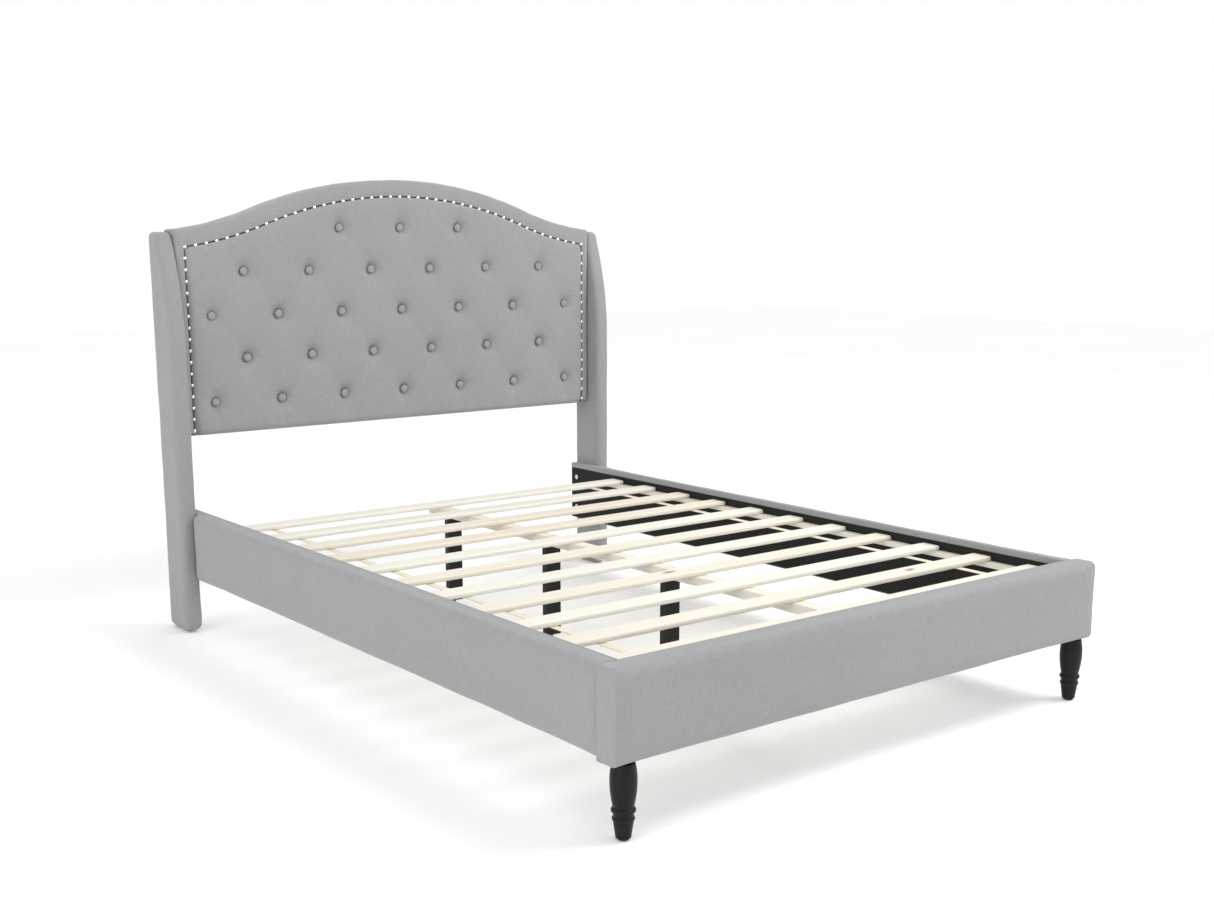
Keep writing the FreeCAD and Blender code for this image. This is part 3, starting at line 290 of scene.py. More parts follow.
def make_lining(name):
    """Black spun cloth with the small pressed dots of a dust cover."""
    made, shader, add, links = material(name)
    place = object_place(add)
    dots = add("ShaderNodeTexVoronoi", {"Vector": place, "Scale": 520.0, "Randomness": 0.25}).outputs[0]
    fibres = noise_value(add, place, 900.0, 4.0, 0.8)
    shade = ramp(add, fibres, [(0.35, gray(0.006)), (0.70, gray(0.020))])
    links.new(shade, shader.inputs["Base Color"])
    rough_by(add, links, shader, fibres, 0.72, 0.92)
    links.new(bump(add, math_node(add, "ADD", dots, fibres), 0.2 * MM, 0.6), shader.inputs["Normal"])
    shader.inputs["Specular IOR Level"].default_value = 0.3
    return made


def along_grain(add, place, axis, scale):
    """Coordinates drawn out along the grain's axis."""
    return stretched(add, place, tuple(scale if letter == axis else 1.0 for letter in "XYZ"))


def own_log(add, place, pitch):
    """Coordinates that jump from one piece of a row along Y to the next, so that no two match."""
    along = add("ShaderNodeSeparateXYZ", {0: place}).outputs[1]
    index = math_node(add, "FLOOR", math_node(add, "DIVIDE", along, pitch))
    offset = add("ShaderNodeTexWhiteNoise", {"W": index}, noise_dimensions="1D").outputs["Color"]
    shift = add("ShaderNodeVectorMath", {0: offset, 1: (7.0, 7.0, 7.0)}, operation="MULTIPLY").outputs[0]
    return add("ShaderNodeVectorMath", {0: place, 1: shift}, operation="ADD").outputs[0]


def knots_at(add, place, axis):
    """1 inside a few scattered knots, drawn out a little along the grain."""
    knot_place = along_grain(add, place, axis, KNOT_STRETCH)
    cells = add("ShaderNodeTexVoronoi", {"Vector": knot_place, "Scale": 5.2}).outputs
    ripple = math_node(add, "MULTIPLY", noise_value(add, place, 90.0), 0.05)
    distance = math_node(add, "ADD", cells[0], ripple)
    return ramp(add, distance, [(0.045, gray(1.0)), (0.085, gray(0.0))])


def make_wood(name, axis, pale, dark, rough=0.55, ring=95.0, piece_pitch=0.0):
    """Planed wood with its grain along one axis: fibres, growth rings, knots and stained patches."""
    made, shader, add, links = material(name)
    place = object_place(add)
    if piece_pitch:
        place = own_log(add, place, piece_pitch)
    grain = along_grain(add, place, axis, GRAIN_STRETCH)
    warp = noise_value(add, grain, 9.0)
    rings = add("ShaderNodeTexWave", {"Vector": grain, "Scale": ring, "Distortion": 5.0, "Detail": 2.0,
                                      "Detail Scale": 0.35}, wave_type="BANDS",
                bands_direction="DIAGONAL", wave_profile="SAW").outputs["Fac"]
    fibres = noise_value(add, grain, 700.0, 3.0)
    tone = math_node(add, "ADD", math_node(add, "MULTIPLY", rings, 0.55),
                     math_node(add, "MULTIPLY", fibres, 0.5))
    shade = ramp(add, tone, [(0.20, pale), (0.85, dark)])
    patches = noise_value(add, grain, 3.0, 2.0, 0.4)
    patch_tone = ramp(add, patches, [(0.42, gray(1.0)), (0.74, WOOD_STAIN)])
    shade = mix_color(add, 0.9, shade, patch_tone, "MULTIPLY")
    shade = mix_color(add, knots_at(add, place, axis), shade, (*KNOT, 1))
    links.new(shade, shader.inputs["Base Color"])
    rough_by(add, links, shader, tone, rough - 0.06, rough + 0.12)
    relief = math_node(add, "ADD", fibres, math_node(add, "MULTIPLY", rings, 0.4))
    relief = math_node(add, "ADD", relief, math_node(add, "MULTIPLY", warp, 0.3))
    links.new(bump(add, relief, 0.25 * MM, 0.5), shader.inputs["Normal"])
    shader.inputs["Specular IOR Level"].default_value = 0.35
    return made


def make_lacquer(name):
    """Satin black lacquer over turned wood: faint grain, soft wear on the raised rings."""
    made, shader, add, links = material(name)
    place = object_place(add)
    grain = noise_value(add, stretched(add, place, (1.0, 1.0, 0.06)), 420.0, 3.0)
    orange_peel = noise_value(add, place, 260.0)
    worn = add("ShaderNodeMapRange", {0: add("ShaderNodeNewGeometry").outputs["Pointiness"],
                                      1: 0.52, 2: 0.62}).outputs[0]
    base = ramp(add, grain, [(0.30, gray(0.004)), (0.75, gray(0.009))])
    links.new(mix_color(add, math_node(add, "MULTIPLY", worn, 0.5), base, (0.022, 0.021, 0.020, 1)),
              shader.inputs["Base Color"])
    rough_by(add, links, shader, grain, 0.34, 0.50)
    relief = math_node(add, "ADD", grain, math_node(add, "MULTIPLY", orange_peel, 0.4))
    links.new(bump(add, relief, 0.12 * MM, 0.5), shader.inputs["Normal"])
    shader.inputs["Specular IOR Level"].default_value = 0.2
    return made


def make_metal(name, color, rough, scratches=0.12):
    """Plated metal with fine scratches, small stains and uneven gloss."""
    made, shader, add, links = material(name)
    place = object_place(add)
    marks = noise_value(add, stretched(add, place, (1.0, 0.12, 1.0)), 900.0, 3.0)
    stains = noise_value(add, place, 70.0, 3.0)
    dull = tuple(channel * part for channel, part in zip(color, (0.9, 0.88, 0.8)))
    links.new(mix_color(add, ramp(add, stains, [(0.42, gray(0.0)), (0.75, gray(1.0))]),
                        (*color, 1), (*dull, 1)), shader.inputs["Base Color"])
    rough_by(add, links, shader, marks, rough, rough + scratches)
    links.new(bump(add, marks, 0.05 * MM, 0.4), shader.inputs["Normal"])
    shader.inputs["Metallic"].default_value = 1.0
    return made


def make_painted_steel(name):
    """Black powder coat with its fine pebbled skin."""
    made, shader, add, links = material(name)
    place = object_place(add)
    pebbles = noise_value(add, place, 650.0)
    links.new(ramp(add, pebbles, [(0.3, gray(0.010)), (0.7, gray(0.022))]), shader.inputs["Base Color"])
    rough_by(add, links, shader, pebbles, 0.42, 0.60)
    links.new(bump(add, pebbles, 0.15 * MM, 0.5), shader.inputs["Normal"])
    return made


def make_nylon(name):
    """Moulded black nylon, slightly mottled."""
    made, shader, add, links = material(name)
    place = object_place(add)
    mottle = noise_value(add, place, 180.0, 3.0)
    links.new(ramp(add, mottle, [(0.3, gray(0.018)), (0.7, gray(0.030))]), shader.inputs["Base Color"])
    rough_by(add, links, shader, mottle, 0.38, 0.55)
    links.new(bump(add, noise_value(add, place, 900.0), 0.06 * MM, 0.4), shader.inputs["Normal"])
    return made


def make_plywood(name):
    """Raw plywood: veneer faces and thin plies at the edges."""
    made, shader, add, links = material(name)
    place = object_place(add)
    through = add("ShaderNodeSeparateXYZ", {0: place}).outputs[1]
    plies = math_node(add, "SINE", math_node(add, "MULTIPLY", through, 2 * math.pi / PLY_PAIR))
    grain = noise_value(add, stretched(add, place, (0.05, 1.0, 1.0)), 160.0, 4.0, 0.5)
    tone = math_node(add, "ADD", grain, math_node(add, "MULTIPLY", plies, 0.06))
    links.new(ramp(add, tone, [(0.3, (0.70, 0.53, 0.34)), (0.7, (0.50, 0.34, 0.19))]),
              shader.inputs["Base Color"])
    rough_by(add, links, shader, grain, 0.62, 0.80)
    links.new(bump(add, grain, 0.2 * MM, 0.5), shader.inputs["Normal"])
    return made


linen = make_linen("grey_linen", LINEN)
LOOKS = {
    "black_lining": make_lining("black_lining"),
    "plywood": make_plywood("plywood"),
    "black_lacquer": make_lacquer("black_lacquer"),
    "zinc_steel": make_metal("zinc_steel", ZINC, 0.30),
    "black_steel": make_painted_steel("black_steel"),
    "nickel_nail": make_metal("nickel_nail", NICKEL, 0.14, 0.10),
    "nylon": make_nylon("nylon"),
    "webbing": make_linen("webbing", WEBBING, 1.8 * MM),
    "grey_linen": linen,
}
pine_slats = make_wood("pine_slats", "X", PINE_PALE, PINE_DARK, piece_pitch=SLAT_PITCH)
pine_long = make_wood("pine_long", "Y", PINE_PALE, PINE_DARK)
TIMBER = {
    axis: make_wood(f"timber_{axis.lower()}", axis, TIMBER_PALE, TIMBER_DARK, 0.75, 60.0)
    for axis in "XYZ"
}


def longest_axis(node):
    size = high(node) - low(node)
    return "XYZ"[max(range(3), key=lambda axis: size[axis])]


def dress_frame():
    """Give every CAD node the finish of its slot, with wood grain along the piece."""
    for part in frame["record"]["subparts"]:
        node, slot = part["node"], part["material_slot"]
        if node.startswith("slat_") and node[5:].isdigit():
            finish = pine_slats
        elif slot == "pine":
            finish = pine_long
        elif slot == "frame_timber":
            finish = TIMBER[longest_axis(node)]
        else:
            finish = LOOKS[slot]
        mesh = frame["nodes"][node].data
        mesh.materials.clear()
        mesh.materials.append(finish)


# ---------------------------------------------------------------- mesh helpers

def new_piece(name, points, faces, finish, smooth=True):
    mesh = bpy.data.meshes.new(name)
    mesh.from_pydata([tuple(point) for point in points], [], faces)
    mesh.validate()
    mesh.update()
    if smooth:
        mesh.polygons.foreach_set("use_smooth", [True] * len(mesh.polygons))
    piece = bpy.data.objects.new(name, mesh)
    bpy.context.scene.collection.objects.link(piece)
    mesh.materials.append(finish)
    return piece


def loft(name, rings, finish):
    """A closed skin over rings of points that have the same count, with its ends filled."""
    count = len(rings[0])
    points = [point for ring in rings for point in ring]
    faces = []
    for index in range(len(rings) - 1):
        for step in range(count):
            a = index * count + step
            b = index * count + (step + 1) % count
            faces.append((a, b, b + count, a + count))
    last = (len(rings) - 1) * count
    faces.append(tuple(range(count - 1, -1, -1)))
    faces.append(tuple(range(last, last + count)))
    return new_piece(name, points, faces, finish)


def grid_faces(rows, columns):
    return [
        (row * columns + column, row * columns + column + 1,
         (row + 1) * columns + column + 1, (row + 1) * columns + column)
        for row in range(rows - 1) for column in range(columns - 1)
    ]


def outward_normals(piece):
    """Turn the faces of a closed piece outwards."""
    mesh = piece.data
    bpy.context.view_layer.objects.active = piece
    bpy.ops.object.select_all(action="DESELECT")
    piece.select_set(True)
    bpy.ops.object.mode_set(mode="EDIT")
    bpy.ops.mesh.select_all(action="SELECT")
    bpy.ops.mesh.normals_make_consistent(inside=False)
    bpy.ops.object.mode_set(mode="OBJECT")
    mesh.update()


def apply_modifiers(piece):
    evaluated = piece.evaluated_get(bpy.context.evaluated_depsgraph_get())
    mesh = bpy.data.meshes.new_from_object(evaluated)
    piece.modifiers.clear()
    piece.data = mesh


def coordinates(mesh):
    points = np.empty(len(mesh.vertices) * 3)
    mesh.vertices.foreach_get("co", points)
    return points.reshape(-1, 3)


def set_coordinates(mesh, points):
    mesh.vertices.foreach_set("co", np.asarray(points, float).ravel())
    mesh.update()


def edit_mesh(piece, change):
    """Run a change on a piece's mesh as a bmesh."""
    editing = bmesh.new()
    editing.from_mesh(piece.data)
    change(editing)
    editing.to_mesh(piece.data)
    editing.free()
    piece.data.update()


def take_caps_off(editing):
    caps = [face for face in editing.faces if len(face.verts) > 4]
    bmesh.ops.delete(editing, geom=caps, context="FACES_ONLY")


def put_caps_on(editing):
    rims = [edge for edge in editing.edges if edge.is_boundary]
    bmesh.ops.holes_fill(editing, edges=rims, sides=0)
    bmesh.ops.recalc_face_normals(editing, faces=editing.faces)


def subdivide(piece):
    """One level of subdivision, with the flat caps left out of it."""
    edit_mesh(piece, take_caps_off)
    modifier = piece.modifiers.new("subdivision", "SUBSURF")
    modifier.levels = 1
    apply_modifiers(piece)
    edit_mesh(piece, put_caps_on)
    piece.data.polygons.foreach_set("use_smooth", [True] * len(piece.data.polygons))


def puff(piece, cap, pins, pressure):
    """Blow a closed skin up as cloth, keep pinned points, and cap how far any point moves."""
    before = coordinates(piece.data)
    cloth = piece.modifiers.new("cloth", "CLOTH")
    settings = cloth.settings
    settings.quality = 3
    settings.mass = 0.3
    settings.tension_stiffness = CLOTH_STIFFNESS
    settings.compression_stiffness = CLOTH_STIFFNESS
    settings.shear_stiffness = CLOTH_STIFFNESS / 2
    settings.bending_stiffness = 0.5
    settings.use_pressure = True
    settings.uniform_pressure_force = pressure
    settings.effector_weights.gravity = 0
    cloth.collision_settings.use_collision = False
    group = piece.vertex_groups.new(name="held")
    for index, weight in enumerate(pins):
        if weight > 0:
            group.add([index], float(weight), "REPLACE")
    settings.vertex_group_mass = "held"
    settings.pin_stiffness = 1.0
    scene = bpy.context.scene
    cloth.point_cache.frame_start = 1
    cloth.point_cache.frame_end = CLOTH_FRAMES
    for step in range(1, CLOTH_FRAMES + 1):
        scene.frame_set(step)
    evaluated = piece.evaluated_get(bpy.context.evaluated_depsgraph_get())
    after = coordinates(evaluated.to_mesh())
    evaluated.to_mesh_clear()
    piece.modifiers.clear()
    piece.vertex_groups.clear()
    scene.frame_set(1)
    moved = after - before
    length = np.linalg.norm(moved, axis=1, keepdims=True)
    share = cap * np.tanh(length / cap) / np.maximum(length, 1e-9)
    set_coordinates(piece.data, before + moved * share)


def rumple(piece, size, depth, seed, held=None):
    """Small uneven swells in the stuffing under the cloth."""
    mesh = piece.data
    points = coordinates(mesh)
    normals = np.empty(len(mesh.vertices) * 3)
    mesh.vertex_normals.foreach_get("vector", normals)
    normals = normals.reshape(-1, 3)
    shift = Vector((seed * 3.7, seed * 1.9, seed * 5.3))
    swell = np.array([noise.noise(Vector(point) / size + shift) for point in points])
    if held is not None:
        swell = swell * held
    set_coordinates(mesh, points + normals * (swell * depth)[:, None])


def finish_piece(piece, *nodes, slot="grey_linen", fill=None):
    """Ride on the frame and stand for the CAD nodes that are named; the slot is not used."""
    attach(piece, "root")
    if nodes:
        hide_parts(*nodes)
    return piece


def arc_points(center, radius, start, stop, steps):
    """Points round a quarter or other arc, angles in degrees, both ends included."""
    return [
        (center[0] + radius * math.cos(math.radians(start + (stop - start) * step / steps)),
         center[1] + radius * math.sin(math.radians(start + (stop - start) * step / steps)))
        for step in range(steps + 1)
    ]


def divided(first, last, steps):
    """Points between two ends, without the ends themselves."""
    return [
        tuple(a + (b - a) * step / steps for a, b in zip(first, last))
        for step in range(1, steps)
    ]


def rounded_loop(low_u, high_u, low_v, high_v, radii, steps_u, steps_v, arc_steps=5):
    """A closed rectangle from its lower left corner round, with a radius at each corner."""
    corners = ((low_u, low_v, 1, 1, 180), (high_u, low_v, -1, 1, 270),
               (high_u, high_v, -1, -1, 0), (low_u, high_v, 1, -1, 90))
    arcs = [
        arc_points((u + in_u * radius, v + in_v * radius), radius, angle, angle + 90, arc_steps)
        for (u, v, in_u, in_v, angle), radius in zip(corners, radii)
    ]
    loop = []
    for index, arc in enumerate(arcs):
        loop += arc
        steps = steps_v if index % 2 else steps_u
        loop += divided(arc[-1], arcs[(index + 1) % 4][0], steps)
    return loop


def end_insets(radius, steps=5):
    """(distance from the end, how far the section is set in) round an end's edge."""
    return [
        (radius * (1 - math.sin(angle)), radius * (1 - math.cos(angle)))
        for angle in (math.pi / 2 * (1 - step / steps) for step in range(steps + 1))
    ]


# ---------------------------------------------------------------- headboard

def crown_height(x, inset):
    """Height of the camelback outline at x, set in by inset."""
    join = CROWN_RUN / CROWN_RADIUS
    rise = math.sqrt(1 - join ** 2)
    center = CROWN_PEAK - CROWN_RADIUS
    crown = CROWN_RADIUS - inset
    shoulder = SHOULDER_RADIUS + inset
    shoulder_x = (CROWN_RADIUS + SHOULDER_RADIUS) * join
    shoulder_z = center + (CROWN_RADIUS + SHOULDER_RADIUS) * rise
    x = abs(x)
    if x <= crown * join:
        return center + math.sqrt(crown ** 2 - x ** 2)
    return shoulder_z - math.sqrt(shoulder ** 2 - (shoulder_x - x) ** 2)


def tuft_points():
    return [
        ((column - (count - 1) / 2) * TUFT_PITCH, PAD_BOTTOM + TUFT_FIRST + row * TUFT_STEP)
        for row, count in enumerate(TUFT_ROWS) for column in range(count)
    ]


def tuft_folds():
    """Lines that the pulled cloth folds along: between near buttons, and out to the edges."""
    spots = tuft_points()
    reach = math.hypot(TUFT_PITCH / 2, TUFT_STEP) * 1.05
    folds = []
    for index, first in enumerate(spots):
        for second in spots[index + 1:]:
            apart = math.hypot(second[0] - first[0], second[1] - first[1])
            if apart < reach:
                folds.append((first, second, 1.0))
    lowest = min(z for x, z in spots)
    for x, z in spots:
        if z == lowest:
            folds.append(((x, z), (x, PAD_BOTTOM - TUFT_FIRST), 1.6))
    top_rows = [(x, z) for x, z in spots if z > spots[-1][1] - 1.5 * TUFT_STEP]
    for x, z in top_rows:
        free = z == spots[-1][1] or abs(x) > 2 * TUFT_PITCH
        if free:
            folds.append(((x, z), (x, crown_height(x, NAIL_LINE)), 0.8))
    return folds


def bells(away, parts):
    return sum(tall * np.exp(-(away / wide) ** 2) for tall, wide in parts)


def pad_depth(x, z, spots, folds):
    """How far the tufted face lies behind its highest level, over arrays of places."""
    depth = np.zeros_like(x)
    for spot_x, spot_z in spots:
        away = np.hypot(x - spot_x, z - spot_z)
        depth += DIMPLE_DEPTH * bells(away, DIMPLE_BELLS)
    for first, second, weight in folds:
        start, stop = np.array(first), np.array(second)
        run = stop - start
        length = np.hypot(*run)
        share = ((x - start[0]) * run[0] + (z - start[1]) * run[1]) / length ** 2
        held = np.clip(share, 0, 1)
        away = np.hypot(x - start[0] - held * run[0], z - start[1] - held * run[1])
        if weight == 1.0:
            strength = 0.25 + 0.75 * np.abs(2 * held - 1) ** 2.2
        else:
            strength = 0.25 + 0.75 * (1 - held) ** 1.3
        depth += weight * strength * bells(away, FOLD_BELLS)
    return depth


def edged_steps(length, roll, step):
    """Places from 0 to length, close together where the pad rolls over at both ends."""
    near = [0, 0.03, 0.10, 0.22, 0.40, 0.62, 0.85, 1.1]
    first = [roll * part for part in near]
    middle = max(2, round((length - 2 * first[-1]) / step))
    between = [first[-1] + (length - 2 * first[-1]) * index / middle for index in range(1, middle)]
    return first + between + [length - place for place in reversed(first)]


def pad_surface(spots):
    """The tufted front as grids of x, y and z, and how far into the rolled edge each place lies."""
    xs = np.array(edged_steps(2 * PAD_HALF, PAD_ROLL, PAD_STEP)) - PAD_HALF
    tops = np.array([crown_height(x, NAIL_LINE + CHANNEL) for x in xs])
    shares = np.array(edged_steps(1.0, PAD_ROLL / PAD_RISE, PAD_STEP / PAD_RISE))
    x = np.tile(xs, (len(shares), 1))
    z = PAD_BOTTOM + shares[:, None] * (tops - PAD_BOTTOM)[None, :]
    side = np.clip(PAD_ROLL - (PAD_HALF - np.abs(x)), 0, PAD_ROLL)
    rim = np.clip(PAD_ROLL - np.minimum(tops[None, :] - z, z - PAD_BOTTOM), 0, PAD_ROLL)
    over = np.minimum(np.hypot(side, rim), PAD_ROLL)
    nailed_depth = BORDER_FRONT + CHANNEL_DEPTH - PAD_FRONT
    loose = np.clip(1 - (z - PAD_BOTTOM) / (2 * PAD_ROLL), 0, 1) ** 0.5
    full_depth = nailed_depth + (PAD_ROLL - nailed_depth) * loose
    roll = full_depth * (1 - np.sqrt(np.maximum(1 - (over / PAD_ROLL) ** 2, 0)))
    dip = pad_depth(x, z, spots, tuft_folds())
    y = PAD_FRONT + roll + dip * (1 - over / PAD_ROLL)
    return x, y, z, np.maximum(side, rim)


def rim_of_grid(rows, columns):
    """The numbers of a grid's outer points, once round."""
    rim_ids = list(range(columns))
    rim_ids += [row * columns + columns - 1 for row in range(1, rows)]
    rim_ids += [(rows - 1) * columns + column for column in range(columns - 2, -1, -1)]
    rim_ids += [row * columns for row in range(rows - 2, 0, -1)]
    return rim_ids


def make_tufted_pad():
    """The tufted front: dimples and folds, swollen as cloth between the buttons."""
    spots = tuft_points()
    x, y, z, rolled = pad_surface(spots)
    front = np.stack([x, y, z], -1).reshape(-1, 3)
    faces = grid_faces(*x.shape)
    rim_ids = rim_of_grid(*x.shape)
    back = front[rim_ids].copy()
    back[:, 1] = PANEL_FRONT
    first = len(front)
    count = len(rim_ids)
    for step in range(count):
        following = (step + 1) % count
        faces.append((rim_ids[following], rim_ids[step], first + step, first + following))
    faces.append(tuple(first + step for step in range(count)))
    piece = new_piece("pad_upholstery", np.vstack([front, back]), faces, linen)
    near_button = np.max([np.exp(-(np.hypot(x - a, z - b) / (17 * MM)) ** 4) for a, b in spots], 0)
    edge = np.clip(rolled / (0.6 * PAD_ROLL), 0, 1)
    pins = np.maximum(near_button, edge).ravel()
    pins = np.concatenate([np.where(pins > 0.5, 1.0, 0.0), np.ones(count)])
    puff(piece, PAD_SWELL, pins, PAD_PRESSURE)
    subdivide(piece)
    return finish_piece(piece, "tufted_pad", fill=0.8)


def make_pad_lip():
    """The pad's cloth where it is drawn under the headboard to its back edge."""
    rings = []
    half = BOARD_OUTER
    for distance, inset in end_insets(3 * MM, 3):
        rings.append((-half + distance, inset))
    rings += [(-half + 2 * half * step / 90, 0) for step in range(1, 90)]
    rings += [(half - distance, inset) for distance, inset in reversed(end_insets(3 * MM, 3))]
    loops = []
    for x, inset in rings:
        loop = rounded_loop(PANEL_FRONT - 6 * MM + inset, CLOTH_BACK - inset, PAD_BOTTOM + inset,
                            PAD_BOTTOM + LIP - inset, [max(3.6 * MM - inset, 0.2 * MM)] * 4, 5, 1, 3)
        loops.append([(x, y, z) for y, z in loop])
    piece = loft("pad_underside", loops, linen)
    outward_normals(piece)
    rumple(piece, 0.05, 0.8 * MM, 2)
    return finish_piece(piece, fill=0.3)


def border_section(inner, outer):
    """(share of the way out, y) round the band's section, from the nail channel to the back."""
    width = math.hypot(outer[0] - inner[0], outer[1] - inner[1])
    round_in = min(4 * MM, width / 3)
    round_out = min(12 * MM, width / 3)
    front = BORDER_FRONT
    section = [(0.0, PANEL_FRONT), (0.0, front + 2 * round_in)]
    section += [(round_in * (1 - math.cos(angle)), front + round_in * (1 - math.sin(angle)))
                for angle in (math.pi / 8 * step for step in range(5))]
    flat = width - round_in - round_out
    section += [(round_in + flat * step / 5, front - BORDER_SWELL * math.sin(math.pi * step / 5))
                for step in range(1, 5)]
    section += [(width - round_out * (1 - math.sin(angle)), front + round_out * (1 - math.cos(angle)))
                for angle in (math.pi / 10 * step for step in range(6))]
    depth = CLOTH_BACK - front - round_out
    section += [(width, front + round_out + depth * step / 5) for step in range(1, 5)]
    section += [(width - 1 * MM, CLOTH_BACK - 0.5 * MM), (width - 4 * MM, CLOTH_BACK),
                (width - BORDER_TURNED, CLOTH_BACK), (width - BORDER_TURNED, PANEL_FRONT)]
    return [(distance / width, y) for distance, y in section]


def make_border():
    """Padded band up both sides and over the crown, its cloth turned over to the back."""
    inner_half = NAIL_HALF + CHANNEL
    inset = NAIL_LINE - CHANNEL
    corner_in = crown_height(inner_half, inset)
    corner_out = crown_height(BOARD_OUTER, 0)
    side_steps, crown_steps = 62, 190
    stations = []
    for step in range(side_steps):
        share = step / side_steps
        stations.append(((-inner_half, BORDER_BOTTOM + share * (corner_in - BORDER_BOTTOM)),
                         (-BORDER_OUTER, BORDER_BOTTOM + share * (corner_out - BORDER_BOTTOM))))
    for step in range(crown_steps + 1):
        share = 2 * step / crown_steps - 1
        stations.append(((share * inner_half, crown_height(share * inner_half, inset)),
                         (share * BORDER_OUTER, crown_height(share * BOARD_OUTER, 0))))
    stations += [((-inner[0], inner[1]), (-outer[0], outer[1]))
                 for inner, outer in reversed(stations[:side_steps])]
    loops = []
    for inner, outer in stations:
        loops.append([
            (inner[0] + (outer[0] - inner[0]) * share, y, inner[1] + (outer[1] - inner[1]) * share)
            for share, y in border_section(inner, outer)
        ])
    piece = loft("border_upholstery", loops, linen)
    outward_normals(piece)
    subdivide(piece)
    rumple(piece, 0.045, 1.0 * MM, 5)
    return finish_piece(piece, "border_band", fill=0.8)


def make_buttons():
    """Cloth-covered buttons: a low dome with a rolled edge."""
    seat = PAD_FRONT + BUTTON_SEAT
    profile = [(0.30, -6.0), (0.55, -5.6), (0.76, -4.9), (0.90, -3.8), (0.985, -2.4), (1.0, -1.0),
               (0.95, 0.2), (0.84, 1.2)]
    around = 28
    points, faces = [], []
    for spot_x, spot_z in tuft_points():
        first = len(points)
        points.append((spot_x, seat - 6.2 * MM, spot_z))
        for share, rise in profile:
            for step in range(around):
                angle = 2 * math.pi * step / around
                gather = 1 + 0.012 * math.sin(7 * angle + 30 * spot_x) * share
                radius = BUTTON_RADIUS * share * gather
                points.append((spot_x + radius * math.cos(angle), seat + rise * MM,
                               spot_z + radius * math.sin(angle)))
        for step in range(around):
            following = (step + 1) % around
            faces.append((first, first + 1 + step, first + 1 + following))
            for ring in range(len(profile) - 1):
                a = first + 1 + ring * around
                faces.append((a + step, a + around + step, a + around + following, a + following))
        last = first + 1 + (len(profile) - 1) * around
        faces.append(tuple(range(last + around - 1, last - 1, -1)))
    piece = new_piece("covered_buttons", points, faces, linen)
    outward_normals(piece)
    return finish_piece(piece, "tuft_buttons", fill=1.0)


def make_back_cloth():
    """Dust cover stapled over the open back of the headboard, slightly slack."""
    node = "headboard_back_cloth"
    half = high(node).x - DUST_COVER_INSET
    bottom = low(node).z + 1 * MM
    columns, rows = 150, 70
    points = []
    for row in range(rows + 1):
        for column in range(columns + 1):
            x = half * (2 * column / columns - 1)
            top = crown_height(x, DUST_COVER_INSET)
            z = bottom + (top - bottom) * row / rows
            edge = min(half - abs(x), top - z, z - bottom)
            slack = min(1.0, max(0.0, edge / (60 * MM)))
            ripple = noise.noise(Vector((x * 5, 0, z * 9))) + 0.4 * noise.noise(Vector((x * 14, 4, z * 22)))
            y = CLOTH_BACK + 0.4 * MM + 1.6 * MM * slack * ripple + 0.8 * MM * slack
            points.append((x, y, z))
    piece = new_piece("dust_cover", points, grid_faces(rows + 1, columns + 1), LOOKS["black_lining"])
    skin = piece.modifiers.new("skin", "SOLIDIFY")
    skin.thickness = 0.5 * MM
    apply_modifiers(piece)
    finish_piece(piece, node, slot="black_lining")
    return piece


def staple_spots():
    """(x, z, turn) of each staple round the dust cover."""
    node = "headboard_back_cloth"
    half = high(node).x - 10 * MM
    bottom = low(node).z + 9 * MM
    spacing = 0.055
    spots = []
    for step in range(round(2 * half / spacing) + 1):
        x = -half + 2 * half * step / round(2 * half / spacing)
        spots += [(x, bottom, 0.0), (x, crown_height(x, 18 * MM), 0.0)]
    upright = crown_height(half, 18 * MM) - bottom
    count = round(upright / spacing)
    for sign in (-1, 1):
        spots += [(sign * half, bottom + upright * step / count, math.pi / 2)
                  for step in range(1, count)]
    return spots


def make_staples():
    """Staples that hold the dust cover round its edge."""
    points, faces = [], []
    wide, wire = 5.5 * MM, 0.55 * MM
    for x, z, turn in staple_spots():
        cos, sin = math.cos(turn), math.sin(turn)
        first = len(points)
        for along in (-wide, -wide + wire, wide - wire, wide):
            lift = 0.35 * MM if abs(along) == wide else 1.5 * MM
            for across, out in ((-wire, 0), (wire, 0), (wire, lift), (-wire, lift)):
                points.append((x + along * cos - across * sin, CLOTH_BACK + 0.8 * MM + out,
                               z + along * sin + across * cos))
        for ring in range(3):
            for step in range(4):
                a = first + ring * 4 + step
                b = first + ring * 4 + (step + 1) % 4
                faces.append((a, b, b + 4, a + 4))
        faces += [(first + 3, first + 2, first + 1, first),
                  (first + 12, first + 13, first + 14, first + 15)]
    piece = new_piece("dust_cover_staples", points, faces, LOOKS["zinc_steel"], smooth=False)
    outward_normals(piece)
    return finish_piece(piece, slot="zinc_steel")


# ---------------------------------------------------------------- wings

def wing_outline(node, inset=0.0):
    """(y, z) round the side of a wing, from the toe, set in by inset."""
    front, back = low(node).y + inset, high(node).y - inset
    floor, top = low(node).z + inset, high(node).z - inset
    toe = WING_TOE_RADIUS - inset
    crest = top - WING_TOP_RADIUS
    sweep = WING_SWEEP_RADIUS - inset
    center = front + sweep
    sweep_start = high(node).z - WING_SWEEP_HEIGHT
    angle = math.degrees(math.asin((crest - sweep_start) / sweep))
    tip = center - sweep * math.cos(math.radians(angle))
    path = arc_points((front + toe, floor + toe), toe, 270, 180, 8)
    path += arc_points((center, sweep_start), sweep, 180, 180 - angle, 30)
    path += arc_points((tip + WING_TOP_RADIUS, crest), WING_TOP_RADIUS, 180 - angle, 90, 8)
    corner = WING_BACK_RADIUS
    path += arc_points((back - corner, top - corner), corner, 90, 0, 4)
    path += arc_points((back - corner, floor + corner), corner, 0, -90, 4)
    return path


